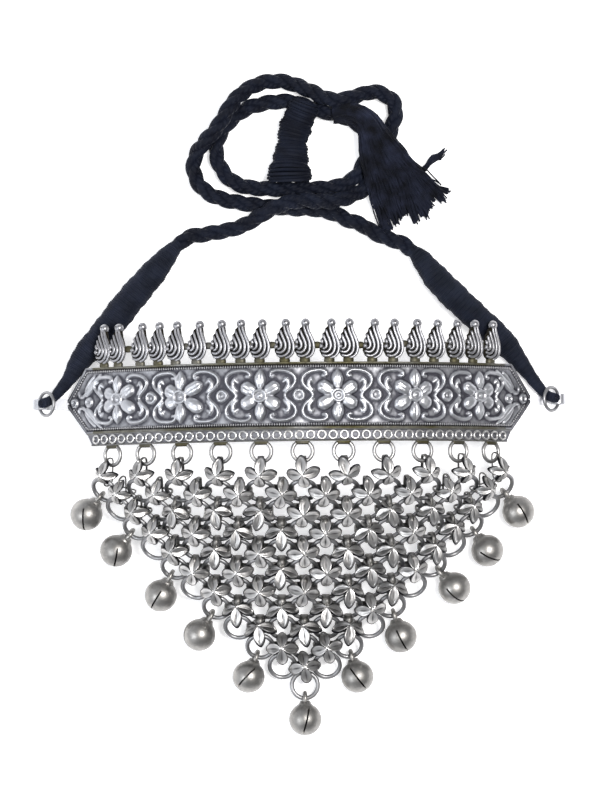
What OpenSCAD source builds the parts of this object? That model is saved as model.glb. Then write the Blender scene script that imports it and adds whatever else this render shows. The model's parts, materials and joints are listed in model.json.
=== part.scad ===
// Silver choker that lies on a table: an arched and embossed collar with a comb of leaf
// finials, a net of flower links and rings, eleven bells, and a black cotton neck cord.
// X runs along the collar, Y from the lowest bell to the cord, Z up from the table.

/* [Collar] */
// Outer radius of the arched plate
plate_r = 72; // [71:0.5:73]
// Thickness of the plate
plate_wall = 0.8; // [0.7:0.1:1]
// Angle from the crown of the arch to each pointed tip
tip_angle = 50.5; // [50:0.5:51]
// Angle from the crown of the arch to the plate's corners
corner_angle = 44.8; // [44:0.1:45.5]
// Height of the embossed plate
plate_h = 15.7; // [15.4:0.1:16]
// Height of the strip of circles under the plate
strip_h = 3; // [2.8:0.1:3.2]
// Number of circles on the strip
circle_count = 41; // [31:2:41]
// Height of one leaf finial
finial_h = 9.6; // [9:0.1:10]

/* [Net] */
// Number of hanger loops, and of flowers in the first row
first_row = 11; // [3:2:11]
// Distance between two rows of the net, seen from above
row_pitch = 4.6; // [4.5:0.05:4.65]
// Mean radius of a ring of the net
ring_r = 3.1; // [3.05:0.05:3.15]
// Wire diameter of a ring of the net
ring_wire = 1.05; // [0.9:0.05:1.1]
// Length of a flower's petal from its middle
petal_len = 3.9; // [3.7:0.05:3.9]
// Most that a flower's cap leans over, in degrees
cap_lean = 8; // [0:1:8]

/* [Bells] */
// Outer radius of a bell
bell_r = 3.85; // [3.6:0.05:4]
// Wall of a bell
bell_wall = 0.55; // [0.4:0.05:0.8]

/* [Cord] */
// Diameter of the twisted cord
cord_d = 3.5; // [3.2:0.1:3.5]

/* [Hidden] */

silver = "#b9bbc0";
dark_silver = "#8e9094";
black_cotton = "#15151d";
round_fn = 48;
arch_fn = 240;

// The plate's middle, which centres the silver on the origin
collar_y = 31.1;
// The arch's axis lies this far under the table, so that the tips stand on the table
arch_drop = 45.2;
tip_y = collar_y - 0.5;
tip_x = plate_r * sin(tip_angle);
corner_x = plate_r * sin(corner_angle);
strip_corner_x = corner_x - 1.3;
half_h = plate_h / 2;
seam = 0.3;
rail_w = 0.45;
rail_h = 0.35;
strip_low = -half_h - strip_h;

// A place on the plate: s along the arch from its crown, y up from its middle, h off its face
function arch_angle(s) = s / plate_r * 180 / PI;
function on_plate(s, y, h) = [
    (plate_r + h) * sin(arch_angle(s)),
    collar_y + y,
    (plate_r + h) * cos(arch_angle(s)) - arch_drop
];
function arch_length(angle) = plate_r * angle * PI / 180;

function unit(v) = v / norm(v);
function flat(lists) = [for (one = lists) for (item = one) item];
// A repeatable number from 0 to 1 for place k and purpose seed
function chance(k, seed) = let (f = sin(k * 73.1 + seed * 41.7) * 917.3) f - floor(f);
// A placing matrix from three axes and an origin
function placed(x, y, z, p) = [
    [x[0], y[0], z[0], p[0]], [x[1], y[1], z[1], p[1]], [x[2], y[2], z[2], p[2]], [0, 0, 0, 1]
];
// The side faces between count rings of n points, two triangles to a patch
function tube_sides(count, n) = [
    for (i = [0 : count - 2]) for (j = [0 : n - 1])
        each [
            [i * n + j, i * n + (j + 1) % n, (i + 1) * n + j],
            [i * n + (j + 1) % n, (i + 1) * n + (j + 1) % n, (i + 1) * n + j]
        ]
];
function tube_ends(count, n) = [
    for (j = [1 : n - 2]) each [[0, j + 1, j], [(count - 1) * n, (count - 1) * n + j, (count - 1) * n + j + 1]]
];

module stand_on_plate(s, y, h) {
    translate(on_plate(s, y, h)) rotate([0, arch_angle(s), 0]) children();
}

module arch_shell(inner, outer) {
    translate([0, collar_y, -arch_drop]) rotate([90, 0, 0]) difference() {
        cylinder(h = 60, r = outer, center = true, $fn = arch_fn);
        cylinder(h = 70, r = inner, center = true, $fn = arch_fn);
    }
}

module plate_outline() {
    polygon([
        [-tip_x, tip_y], [-corner_x, collar_y + half_h], [corner_x, collar_y + half_h], [tip_x, tip_y],
        [corner_x, collar_y - half_h], [strip_corner_x, collar_y + strip_low],
        [-strip_corner_x, collar_y + strip_low], [-corner_x, collar_y - half_h]
    ]);
}

module plate_body() {
    intersection() {
        arch_shell(plate_r - plate_wall, plate_r);
        linear_extrude(height = 40) plate_outline();
    }
}

// A straight rail across the collar, y up from the plate's middle
module rail_band(half_x, low, high) {
    translate([-half_x, collar_y + low]) square([2 * half_x, high - low]);
}

// The raised edge from a tip to a corner
module rail_edge(side_x, side_y) {
    polygon([
        [side_x * tip_x, tip_y], [side_x * corner_x, collar_y + side_y * half_h],
        [side_x * (corner_x - 0.65), collar_y + side_y * half_h], [side_x * (tip_x - 0.85), tip_y]
    ]);
}

module rails() {
    intersection() {
        arch_shell(plate_r - 0.2, plate_r + rail_h);
        linear_extrude(height = 40) union() {
            rail_band(corner_x, half_h - rail_w, half_h);
            rail_band(corner_x, -half_h + seam, -half_h + seam + rail_w);
            rail_band(corner_x - 0.5, -half_h - rail_w, -half_h);
            rail_band(strip_corner_x, strip_low, strip_low + rail_w);
            for (side_x = [-1, 1]) for (side_y = [-1, 1]) rail_edge(side_x, side_y);
        }
    }
}

module raised_circle(outer, inner, height) {
    translate([0, 0, -0.3]) difference() {
        cylinder(h = height + 0.3, r = outer, $fn = 32);
        translate([0, 0, 0.2]) cylinder(h = height + 1, r = inner, $fn = 32);
    }
}

circle_pitch = 2.65;
module strip_circles() {
    for (k = [0 : circle_count - 1])
        stand_on_plate((k - (circle_count - 1) / 2) * circle_pitch, -half_h - strip_h / 2, 0)
            raised_circle(0.98, 0.55, 0.3);
}

// Embossed flowers: six petals about a ringed boss
flower_at = [-45.6, -27.6, -9.1, 9.1, 27.6, 45.6];
petal_profile = [1, 0.94, 0.8, 0.36, 0.8, 0.94];
petal_crest = [0.95, 0.9, 0.65, 0.1, 0.65, 0.9];
function petal_reach(j, size) = size * petal_profile[j % 6] * (floor((j + 3) / 6) % 3 == 0 ? 1.12 : 1);
function embossed_ring(s, size, share, heights) = [
    for (j = [0 : 35])
        let (a = 90 - j * 10, r = petal_reach(j, size) * share)
            on_plate(s + r * cos(a), r * sin(a), heights[j % len(heights)])
];
module embossed_flower(s, size) {
    points = flat([
        embossed_ring(s, size, 1, [-0.3]), embossed_ring(s, size, 0.9, [0.25]),
        embossed_ring(s, size, 0.6, petal_crest), [on_plate(s, 0, 0.6), on_plate(s, 0, -0.3)]
    ]);
    polyhedron(points, concat(
        tube_sides(3, 36),
        [for (j = [0 : 35]) [72 + j, 72 + (j + 1) % 36, 108]],
        [for (j = [0 : 35]) [(j + 1) % 36, j, 109]]
    ));
    stand_on_plate(s, 0, 0) raised_circle(1.3, 0.75, 1.05);
}

// A ridge with a three-sided section that follows a path of [s, y] places on the plate
function path_way(path, i) = unit(path[min(i + 1, len(path) - 1)] - path[max(i - 1, 0)]);
function ridge_points(path, w, h) = [
    for (i = [0 : len(path) - 1])
        let (d = path_way(path, i), side = [-d[1], d[0]] * w / 2 * (i == 0 ? 0.6 : 1))
            each [
                on_plate(path[i][0] + side[0], path[i][1] + side[1], -0.3),
                on_plate(path[i][0] - side[0], path[i][1] - side[1], -0.3),
                on_plate(path[i][0], path[i][1], h)
            ]
];
module ridge(path, w, h) {
    polyhedron(ridge_points(path, w, h), concat(tube_sides(len(path), 3), tube_ends(len(path), 3)));
}

// One arm of the bracket beside a flower, from its inward cusp to its curl, for side and up of 1 or -1
bracket_arm = [
    [4.3, 0.1], [5.2, 0.7], [6.3, 1.7], [6.9, 3.1], [6.6, 4.6],
    [5.5, 5.7], [4.0, 6.1], [2.7, 5.8], [2.2, 5.0], [2.9, 4.5]
];
bracket_leaf = [[5.4, 1.6], [5.9, 2.9], [5.6, 4.1], [4.7, 4.9]];
function turned(path, s, side, up, size) = [for (p = path) [s + side * p[0] * size, up * p[1] * size]];
module brackets(s, size) {
    for (side = [-1, 1]) for (up = [-1, 1]) {
        ridge(turned(bracket_arm, s, side, up, size), 0.85, 0.6);
        ridge(turned(bracket_leaf, s, side, up, size), 0.7, 0.4);
    }
}

tip_leaf = [[50.7, 6.2], [53.3, 5.6], [54.4, 4.1], [56.2, 3.2], [58.2, 2.6]];
tip_curl = [[53.4, 3.3], [54.7, 2.2], [56.3, 1.7], [57.6, 1.4]];
boss_at = [-60.4, -55.4, -36.6, -18.4, 0, 18.4, 36.6, 55.4, 60.4];
module relief() {
    for (k = [0 : 5]) {
        size = abs(flower_at[k]) > 40 ? 0.94 : 1;
        embossed_flower(flower_at[k], 5 * size);
        brackets(flower_at[k], size);
    }
    for (s = boss_at) stand_on_plate(s, abs(s) > 50 ? -0.4 : 0, 0)
        raised_circle(abs(s) > 50 ? 1 : 1.25, 0.65, 0.55);
    for (side = [-1, 1]) for (up = [-1, 1]) {
        ridge(turned(tip_leaf, 0, side, up, 1), 0.9, 0.5);
        ridge(turned(tip_curl, 0, side, up, 1), 0.75, 0.4);
    }
}

// Leaf finials along the top edge: a paisley plate, three raised ribs, a ball head, a soldered foot
finial_at = [
    -51, -46.6, -40.1, -35.1, -30.4, -25, -18.9, -14.1, -9.5, -3.5,
    1.3, 7.1, 11.7, 17.5, 22.7, 28.3, 33.3, 39, 44.3, 49.7
];
leaf_w = 4.5;
leaf_edge = [
    [-0.5, 0.2], [-1.5, 0.9], [-2.05, 2.1], [-2, 3.2], [-1.65, 3.8], [-1.75, 4.8], [-1.25, 5.3],
    [-1.25, 6.1], [-0.65, 6.6], [-0.5, 7.4], [0.1, 7.9], [0.3, 8.8], [1.3, 8.8], [1.5, 7.7], [1.75, 6.4],
    [2.2, 5.2], [2.45, 3.8], [2.35, 2.4], [1.8, 1.1], [0.7, 0.2]
];
leaf_ribs = [
    [[0.9, 8], [1.05, 6.6], [1.6, 5.2], [1.85, 3.8], [1.65, 2.3], [0.75, 1.2], [-0.5, 1], [-1.4, 1.6]],
    [[0, 6.9], [0.3, 5.6], [0.85, 4.5], [0.95, 3.3], [0.45, 2.4], [-0.4, 2], [-1.2, 2.5]],
    [[-0.8, 5.7], [-0.4, 4.8], [0, 3.9], [-0.2, 3.1], [-1, 3.1]]
];
function ribbon(path, w) = concat(
    [for (i = [0 : len(path) - 1]) let (d = path_way(path, i)) path[i] + [-d[1], d[0]] * w / 2],
    [for (i = [len(path) - 1 : -1 : 0]) let (d = path_way(path, i)) path[i] - [-d[1], d[0]] * w / 2]
);
module finial() {
    size = finial_h / 9.6;
    translate([0, 0, -0.85]) linear_extrude(height = 0.9) polygon(leaf_edge * size);
    for (rib = leaf_ribs) translate([0, 0, -0.2]) linear_extrude(height = 0.65)
        polygon(ribbon(rib * size, 0.5));
    translate([0.82, 8.75, -0.3] * size) sphere(r = 0.95, $fn = 24);
    translate([0, 0, -0.3]) sphere(r = 0.9, $fn = 24);
}
module crest() {
    for (k = [0 : len(finial_at) - 1]) stand_on_plate(finial_at[k], half_h + 0.5, 0) finial();
    for (k = [0 : len(finial_at) - 2]) {
        gap = finial_at[k + 1] - finial_at[k] - leaf_w;
        if (gap < 1.6) stand_on_plate((finial_at[k] + finial_at[k + 1]) / 2 + 0.2, half_h + 3.3, -0.7)
            translate([-gap / 2 - 0.5, 0, 0]) cube([gap + 1, 1, 0.6]);
    }
}

// Hanger loops under the strip, each soldered to a tab
net_x = 0.7;
hanger_y = strip_low - 2.35;
hanger_step = arch_length(3.9);
loop_r = 2.4;
loop_wire = 0.9;
module wire_ring(r, wire) {
    rotate_extrude($fn = round_fn) translate([r, 0]) circle(r = wire / 2, $fn = 16);
}
module hangers() {
    for (k = [-first_row + 1 : 2 : first_row - 1]) {
        s = k * hanger_step + net_x;
        stand_on_plate(s, hanger_y, -plate_wall / 2) wire_ring(loop_r, loop_wire);
        stand_on_plate(s, strip_low, -plate_wall / 2)
            translate([-1.7, -0.75, -0.55]) cube([3.4, 1.35, 1.1]);
    }
}

// A strap at each tip, lying on the table and rolled into an eye for the end ring
strap_end = tip_x + 6.6;
strap_w = 2.6;
eye_r = 1.6;
module end_strap(side) {
    mirror([side < 0 ? 1 : 0, 0, 0]) difference() {
        union() {
            translate([0, 0, 0.15]) linear_extrude(height = 1.1)
                polygon([
                    [tip_x - 1.6, tip_y - 1.6], [tip_x + 0.6, tip_y - 1.5],
                    [strap_end, tip_y - strap_w / 2 + 0.1], [strap_end, tip_y + strap_w / 2 - 0.1],
                    [tip_x + 0.6, tip_y + 1.5], [tip_x - 1.6, tip_y + 1.6]
                ]);
            translate([strap_end, tip_y, eye_r]) rotate([90, 0, 0])
                cylinder(h = strap_w, r = eye_r, center = true, $fn = round_fn);
        }
        translate([strap_end, tip_y, eye_r]) rotate([90, 0, 0])
            cylinder(h = strap_w + 2, r = 0.75, center = true, $fn = round_fn);
    }
}

module collar() {
    color(silver) union() {
        plate_body();
        rails();
        strip_circles();
        relief();
        crest();
        hangers();
        for (side = [-1, 1]) end_strap(side);
    }
}

// The ring through each eye leans back towards the plate and holds the cord
end_ring_r = 2.8;
end_ring_wire = 0.8;
ring_lean = 40;
module end_ring(side) {
    color(silver) translate([side * strap_end, tip_y, eye_r]) rotate([0, -side * ring_lean, 0])
        translate([0, 0, end_ring_r - 0.16]) rotate([0, 90, 0]) wire_ring(end_ring_r, end_ring_wire);
}

// The net. Place (u, v) is half a step u across and v rows down. Flowers sit where u + v is even
// and v is 1 or more, and under each flower, where u + v is odd, a ring joins it to its neighbours.
net_slope = 0.58;
net_rest = 1.95;
net_bend = 6;
half_step = 5.42;
spread_rows = 7;
arch_mid = plate_r - plate_wall / 2;
function net_dx(u, v) = let (w = 1 - exp(-v / spread_rows))
    net_x + (1 - w) * arch_mid * sin(arch_angle(u * hanger_step)) + w * half_step * u;
// The rows rise a little towards the sides of the net
function net_drop(u, v) =
    row_pitch * v - (v > first_row ? 0 : 0.1) - 0.02 * u * u * (1 - exp(-max(v, 0) / 3));
function softly(t) = t > 12 ? t : ln(1 + exp(t));
// Height of the net's middle: it leaves the arch level, slopes down, and bends to lie on the table
function net_z(x, down) =
    let (
        high = sqrt(arch_mid * arch_mid - x * x) - arch_drop - net_rest,
        unit_h = net_slope * net_bend,
        d = max(down, 0),
        fall = net_slope * d * d / (d + 4)
    ) net_rest + unit_h * softly((high - fall) / unit_h);
function net_place(u, v) = let (x = net_dx(u, v), down = net_drop(u, v))
    [x, collar_y + hanger_y - down, net_z(x, down)];
// The axes of the net at (u, v): across, up the net, and off its face
function net_axes(u, v) =
    let (
        across = unit(net_place(u + 1, v) - net_place(u - 1, v)),
        up = unit(net_place(u, v - 0.9) - net_place(u, v + 0.9)),
        face = unit(cross(across, up)),
        x = unit(across + cross(up, face))
    ) [x, cross(face, x), face];
function net_matrix(u, v) = let (a = net_axes(u, v)) placed(a[0], a[1], a[2], net_place(u, v));
function row_ends(v) = first_row - v;

// A flower link: crossed straps whose four slots hold the rings' wire, under a leaning
// four-petalled cap
slot_in = 0.7;
slot_half = 1.58;
arm_w = 0.9;
arm_high = 1.86;
arm_low = -1.86;
arm_end = 0.24;
cap_top = 3.5;
cap_drop = 1.15;
cap_depth = 1;
ring_tilt = 17;
// The last ring lies level, so that the lowest bell's bail clears the table
function tilt_at(v) = v > first_row ? 0 : ring_tilt;
// The place of the ring or hanger loop beside (u, v)
function link_place(u, v, du, dv) = v + dv == 0
    ? on_plate(u * hanger_step + net_x, hanger_y, -plate_wall / 2)
    : net_place(u + du, v + dv);
// How far out the slot that holds this ring's wire has to reach
function slot_out(u, v, du, dv) =
    let (
        a = net_axes(u, v),
        way = link_place(u, v, du, dv) - net_place(u, v),
        along = abs(dv == 0 ? way * a[0] : way * a[1]),
        aside = abs(dv == 0 ? way * a[1] : way * a[0]) + arm_w,
        r = v + dv == 0 ? loop_r : (dv == 0 ? ring_r : ring_r * cos(ring_tilt))
    ) along - sqrt(r * r - aside * aside) + (v + dv == 0 ? 0.93 : 0.81);
// Slot lengths to the right, up, left and down
function slots(u, v) = [
    v > 1 ? slot_out(u, v, 1, 0) : 1.2, slot_out(u, v, 0, -1), v > 1 ? slot_out(u, v, -1, 0) : 1.2,
    slot_out(u, v, 0, 1)
];
module crossed_straps(reach, half_w) {
    difference() {
        union() {
            translate([-reach[2] - arm_end, -half_w, arm_low])
                cube([reach[0] + reach[2] + 2 * arm_end, 2 * half_w, arm_high - arm_low]);
            translate([-half_w, -reach[3] - arm_end, arm_low])
                cube([2 * half_w, reach[1] + reach[3] + 2 * arm_end, arm_high - arm_low]);
        }
        for (k = [0 : 3]) rotate([0, 0, k * 90]) translate([slot_in, -half_w - 0.2, -slot_half])
            cube([reach[k] - slot_in, 2 * half_w + 0.4, 2 * slot_half]);
    }
    translate([-0.6, -0.6, arm_high - 0.2]) cube([1.2, 1.2, cap_top - arm_high - 0.2]);
}
// A petal's outline from notch to notch, as distances out and across
petal_edge = [[1, -1], [2, -1.3], [3.1, -1], [petal_len, 0], [3.1, 1], [2, 1.3]];
petal_dip = 0.25;
function cap_z(r) = cap_top - cap_drop * pow(r / petal_len, 2);
function on_cap(q, e, lift) = [
    e[0] * cos(q) + e[1] * sin(q), e[1] * cos(q) - e[0] * sin(q), cap_z(norm(e)) + lift
];
module petal_cap(size) {
    points = concat(
        [for (q = [0 : 90 : 270]) for (e = petal_edge) on_cap(q, [e[0], -e[1]], 0)],
        [[0, 0, cap_top - cap_depth], [0, 0, cap_top + 0.15]],
        [for (q = [0 : 90 : 270]) on_cap(q, [2.3, 0], -petal_dip)]
    );
    scale([size, size, 1]) polyhedron(points, concat(
        [for (j = [0 : 23]) [(j + 1) % 24, j, 24]],
        [for (q = [0 : 3]) for (j = [0 : 5]) [q * 6 + j, (q * 6 + j + 1) % 24, 26 + q]],
        [for (q = [0 : 3]) each [[25, q * 6, 26 + q], [(q * 6 + 6) % 24, 25, 26 + q]]]
    ));
}
// Where the net is squeezed its caps are smaller
function cap_size(u, v) = min(1, 0.139 * min([
    for (d = [[-1, 1], [1, 1], [-1, -1], [1, -1]])
        v + d[1] > 0 && abs(u + d[0]) <= row_ends(v + d[1])
            ? norm(net_place(u + d[0], v + d[1]) - net_place(u, v)) : 9
]));
function flower_number(u, v) = (first_row + u) / 2 + v * 13;
module flower_link(u, v) {
    k = flower_number(u, v);
    way = 360 * chance(k, 1);
    size = cap_size(u, v);
    lean = cap_lean * sqrt(chance(k, 2)) * pow(size, 4);
    twist = 16 * (chance(k, 3) - 0.5) * pow(size, 4);
    multmatrix(net_matrix(u, v)) {
        crossed_straps(slots(u, v), arm_w * pow(size, 7));
        translate([0, 0, 2.4]) rotate(a = lean, v = [cos(way), sin(way), 0]) rotate([0, 0, twist])
            translate([0, 0, -2.4]) petal_cap(size);
    }
}
module flower_links() {
    color(dark_silver) for (v = [1 : first_row]) for (u = [-row_ends(v) : 2 : row_ends(v)])
        flower_link(u, v);
}

// Each ring lies with its upper side raised, as the tiles of a roof do
module one_link_ring(u, v) {
    multmatrix(net_matrix(u, v)) rotate([tilt_at(v), 0, 0]) wire_ring(ring_r, ring_wire);
}
module link_rings() {
    color(silver) for (v = [1 : first_row]) for (u = [-row_ends(v) : 2 : row_ends(v)])
        one_link_ring(u, v + 1);
}

// The bells: the row whose end ring holds it, its side and its heading out from -Y,
// then how its slit lies: the roll round the bell's axis and the heading of the slit's far end
bell_table = [
    ["bell_left_1", 1, -1, 39, 4, 4], ["bell_left_2", 3, -1, 41, -6, 12],
    ["bell_left_3", 5, -1, 27, 10, 34], ["bell_left_4", 7, -1, 30, 80, 30],
    ["bell_left_5", 9, -1, 20, 6, 46], ["bell_bottom", 11, 1, 0, -10, -10],
    ["bell_right_1", 1, 1, 36, -6, 33], ["bell_right_2", 3, 1, 34, 18, 60],
    ["bell_right_3", 5, 1, 40, 12, 44], ["bell_right_4", 7, 1, 16, 6, 26],
    ["bell_right_5", 9, 1, 14, 6, 35]
];
bail_r = 1.5;
bail_wire = 1.05;
slit_w = 0.4;
bail_reach = bell_r + 1.2;
function bell_frame(row, side, heading) =
    let (
        u = side * row_ends(row),
        a = net_axes(u, row + 1),
        face = a[2] * cos(tilt_at(row + 1)) - a[1] * sin(tilt_at(row + 1)),
        out = [side * sin(heading), -cos(heading), 0],
        arm = unit(out - (out * face) * face),
        wire_at = net_place(u, row + 1) + ring_r * arm,
        wire_way = cross(face, arm),
        reach = bail_reach + 0.2,
        dip = (wire_at[2] - bell_r - 0.02) / reach,
        axis = out * sqrt(1 - dip * dip) - [0, 0, dip],
        bail_way = unit(wire_way - (wire_way * axis) * axis)
    ) placed(bail_way, cross(axis, bail_way), axis, wire_at + reach * axis);
module bell(row, side, heading, roll, slit_heading) {
    frame = bell_frame(row, side, heading);
    color(dark_silver) multmatrix(frame) {
        difference() {
            union() {
                sphere(r = bell_r, $fn = round_fn);
                translate([0, 0, -bell_r - 0.5]) cylinder(h = 1.6, r1 = 1.25, r2 = 2.1, $fn = 32);
            }
            sphere(r = bell_r - bell_wall, $fn = round_fn);
            rotate([0, side * (slit_heading - heading), 0]) rotate([0, 0, roll])
                translate([-slit_w / 2, 0.6, -1.6]) cube([slit_w, bell_r + 1, bell_r + 3]);
        }
        translate([0, 0, -bail_reach]) rotate([0, 90, 0]) wire_ring(bail_r, bail_wire);
    }
}
module named_bell(name) {
    for (b = bell_table) if (b[0] == name) bell(b[1], b[2], b[3], b[4], b[5]);
}

// Cords. A tube with n sides about a route of [x, y, z, radius] places
function route_way(route, i) =
    let (a = route[max(i - 1, 0)], b = route[min(i + 1, len(route) - 1)])
    unit([b[0] - a[0], b[1] - a[1], b[2] - a[2]]);
function route_ring(route, i, n, flatness) =
    let (
        d = route_way(route, i),
        side = unit(cross(d, [0, 0, 1])),
        up = cross(side, d),
        r = route[i][3] / cos(180 / n)
    ) [
        for (j = [0 : n - 1]) let (a = (j + 0.5) * 360 / n)
            [route[i][0], route[i][1], route[i][2]] + r * (side * cos(a) + up * sin(a) * flatness)
    ];
module tube(route, n, flatness = 1) {
    polyhedron(
        [for (i = [0 : len(route) - 1]) each route_ring(route, i, n, flatness)],
        concat(tube_sides(len(route), n), tube_ends(len(route), n))
    );
}
function with_radius(route, r) = [for (p = route) [p[0], p[1], p[2], r]];

cord_left_route = [
    [-28, 69, 1.8], [-26, 70.5, 1.8], [-22.5, 71, 1.8], [-19.5, 71.5, 1.8], [-16.5, 72, 1.9],
    [-13, 73, 2.8], [-10, 74.5, 4.3], [-7, 76.2, 5.7], [-4, 77.6, 5.7], [-1, 78.4, 5.6],
    [2.5, 78.7, 5.5], [6, 78.4, 5.1], [9.5, 78.6, 4.3], [13, 79.8, 2.4], [16, 81.5, 1.9],
    [18.4, 84.4, 1.9], [19.3, 88.4, 1.9], [18.3, 93, 1.9], [15.8, 96.4, 1.9], [12.5, 98.5, 1.9],
    [9, 99.7, 1.9], [5.5, 100.6, 1.9], [2, 101.8, 1.9], [-1, 102.7, 1.9], [-4.5, 102.8, 1.9],
    [-8, 102.3, 1.9], [-12, 101.1, 1.9], [-15.7, 98.4, 1.9], [-18.3, 95, 1.9], [-19.3, 91, 1.9],
    [-18.3, 87.2, 1.9], [-15.8, 84, 1.9], [-12.2, 82.4, 1.9], [-8, 81.9, 1.9], [-3, 81.7, 1.9],
    [2, 81.7, 1.9], [6, 81.8, 1.9], [9.6, 82.2, 1.9], [12.8, 83.4, 1.9], [15.2, 85.8, 1.9],
    [16.6, 89, 2]
];
cord_right_route = [
    [27, 67, 1.8], [25, 68.5, 1.8], [22, 69.5, 1.8], [18.5, 71, 1.8], [15.5, 73, 1.8],
    [12.5, 74, 1.8], [9.5, 75.5, 1.8], [6, 76.5, 1.8], [2.5, 77, 1.8], [-0.5, 77, 1.8],
    [-4, 77.3, 1.9], [-7.5, 77.6, 1.9], [-11, 78.1, 1.9], [-14, 78.6, 1.9], [-17.6, 79.4, 1.9],
    [-21.2, 80.9, 1.9], [-23.8, 83.6, 1.9], [-24.8, 87.4, 1.9], [-23.9, 90.6, 2.6], [-21.9, 93.2, 4.7],
    [-19.4, 95.8, 5.8], [-17.5, 98.6, 5.9], [-15.9, 101.3, 5.4], [-14, 103.7, 4.1], [-11.2, 106, 2.7],
    [-7.6, 107.5, 1.9], [-3.5, 107.7, 1.9], [0, 106.8, 2], [3.5, 105.2, 3.4], [7, 103.4, 4.1],
    [10.5, 102.8, 4.4], [14.5, 103.8, 3.4], [18.5, 104.9, 2.2], [21.5, 104.1, 2], [23.6, 102.2, 2],
    [23.9, 99.5, 2.2], [23.1, 96.6, 2.3], [22.2, 94.2, 2.3]
];
// The wound sleeve over each end of the cord: x, y, z and radius
wrap_left_route = [
    [-61.7, 30.7, 5.5, 1.1], [-60.7, 30.9, 4.6, 1.2], [-59.1, 31.8, 3.2, 1.2], [-57, 34.2, 2.2, 1.45],
    [-54.7, 37.2, 2, 1.9], [-51.5, 42, 3, 2.9], [-46.5, 47.5, 3.5, 3.4], [-40.5, 55, 3.6, 3.5],
    [-34, 62.5, 3.2, 3.1], [-30.6, 66.6, 2.3, 2.2], [-29.2, 68.1, 1.8, 1.75], [-28, 69, 1.8, 1.75]
];
wrap_right_route = [
    [61.7, 30.7, 5.5, 1.1], [60.7, 30.9, 4.6, 1.2], [59.1, 31.8, 3.2, 1.2], [57, 34.2, 2.2, 1.45],
    [53.8, 38.5, 2.1, 2], [49, 44.5, 3.2, 3.1], [41.5, 51.5, 3.5, 3.4], [34, 59, 3.4, 3.3],
    [29.6, 64.6, 2.5, 2.4], [28.2, 66.1, 1.8, 1.75], [27, 67, 1.8, 1.75]
];
slider_route = [
    [-1.6, 84.5, 2.9, 4], [-1.3, 86.2, 3.2, 4.5], [-0.8, 88.6, 2.8, 3.9], [-0.1, 92, 2.6, 3.6],
    [0.8, 95.2, 2.5, 3.5], [1.3, 97.4, 2.4, 3.3], [1.5, 98.3, 2.1, 2.4]
];

module cord_wrap(route) {
    color(black_cotton) tube(route, 12);
}
module cord_length(route) {
    color(black_cotton) tube(with_radius(route, cord_d / 2), 8);
}
module cord_slider() {
    color(black_cotton) tube(slider_route, 12, 0.7);
}

// The tassel: locks that leave a bound head and fan out. Axis places: x, y, z, half width, half depth
tassel_axis = [
    [17.2, 97.6, 6, 1.6, 1.6], [19.6, 93, 5.6, 3.4, 1.5], [22, 88.5, 5.2, 4.8, 1.1],
    [24.6, 84, 4.5, 5.8, 1]
];
lock_ends = [
    [21.2, 73.2, 0.9], [24, 74.3, 0.9], [27, 74.8, 0.9], [30, 76, 0.9], [33, 77.2, 0.9],
    [34.8, 79, 0.9], [36, 81.5, 0.9]
];
tassel_head = [
    [12.4, 99.8, 5.8, 1.3], [14.8, 99.2, 6, 1.9], [17.2, 97.6, 6, 2.2], [18.6, 95.2, 5.9, 2.1]
];
function lock_place(i, k) =
    let (
        t = (k - (len(lock_ends) - 1) / 2) / ((len(lock_ends) - 1) / 2),
        a = tassel_axis[i],
        b = tassel_axis[min(i + 1, len(tassel_axis) - 1)],
        c = tassel_axis[max(i - 1, 0)],
        d = unit([b[0] - c[0], b[1] - c[1], 0]),
        side = [-d[1], d[0], 0]
    ) [a[0], a[1], a[2]] + side * t * a[3] * 0.82;
function lock_route(k) = concat(
    [for (i = [0 : len(tassel_axis) - 1]) concat(lock_place(i, k), [0.45 + tassel_axis[i][3] * 0.2])],
    [let (p = lock_place(len(tassel_axis) - 1, k), e = lock_ends[k]) concat((p + e) / 2 - [0, 0, 0.3], [1.5])],
    [concat(lock_ends[k], [0.7])]
);
module cord_tassel() {
    color(black_cotton) union() {
        tube(tassel_head, 8);
        for (k = [0 : len(lock_ends) - 1]) tube(lock_route(k), 6, 0.62);
    }
}

collar();
end_ring(-1);  // end_ring_left
end_ring(1);  // end_ring_right
flower_links();
link_rings();
named_bell("bell_left_1");  // bell_left_1
named_bell("bell_left_2");  // bell_left_2
named_bell("bell_left_3");  // bell_left_3
named_bell("bell_left_4");  // bell_left_4
named_bell("bell_left_5");  // bell_left_5
named_bell("bell_right_1");  // bell_right_1
named_bell("bell_right_2");  // bell_right_2
named_bell("bell_right_3");  // bell_right_3
named_bell("bell_right_4");  // bell_right_4
named_bell("bell_right_5");  // bell_right_5
named_bell("bell_bottom");  // bell_bottom
cord_wrap(wrap_left_route);  // cord_wrap_left
cord_wrap(wrap_right_route);  // cord_wrap_right
cord_length(cord_left_route);  // cord_left
cord_length(cord_right_route);  // cord_right
cord_slider();
cord_tassel();
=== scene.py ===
# %% [markdown]
# # A silver choker with a net of bells
#
# The real choker is an arched band of embossed silver. A comb of leaf finials is soldered along
# its upper edge, and a pointed net of flower links and rings hangs from its lower edge, with a
# small round bell at each end of a row. A black cotton cord closes it behind the neck. Here it
# lies on a pale table, face up, with the cord laid out above it.
#
# The shapes that carry and join the pieces come from a CAD model, which this script never moves.
# The lesson gives every piece its real surface: struck relief, worn silver, twisted cotton. A
# jewel like this repeats a few small forms many times, so most of it is made with Geometry Nodes.

# %% Load the CAD model
import json
import math

import bmesh
import bpy
import numpy as np
from mathutils import Euler, Matrix, Vector

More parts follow.
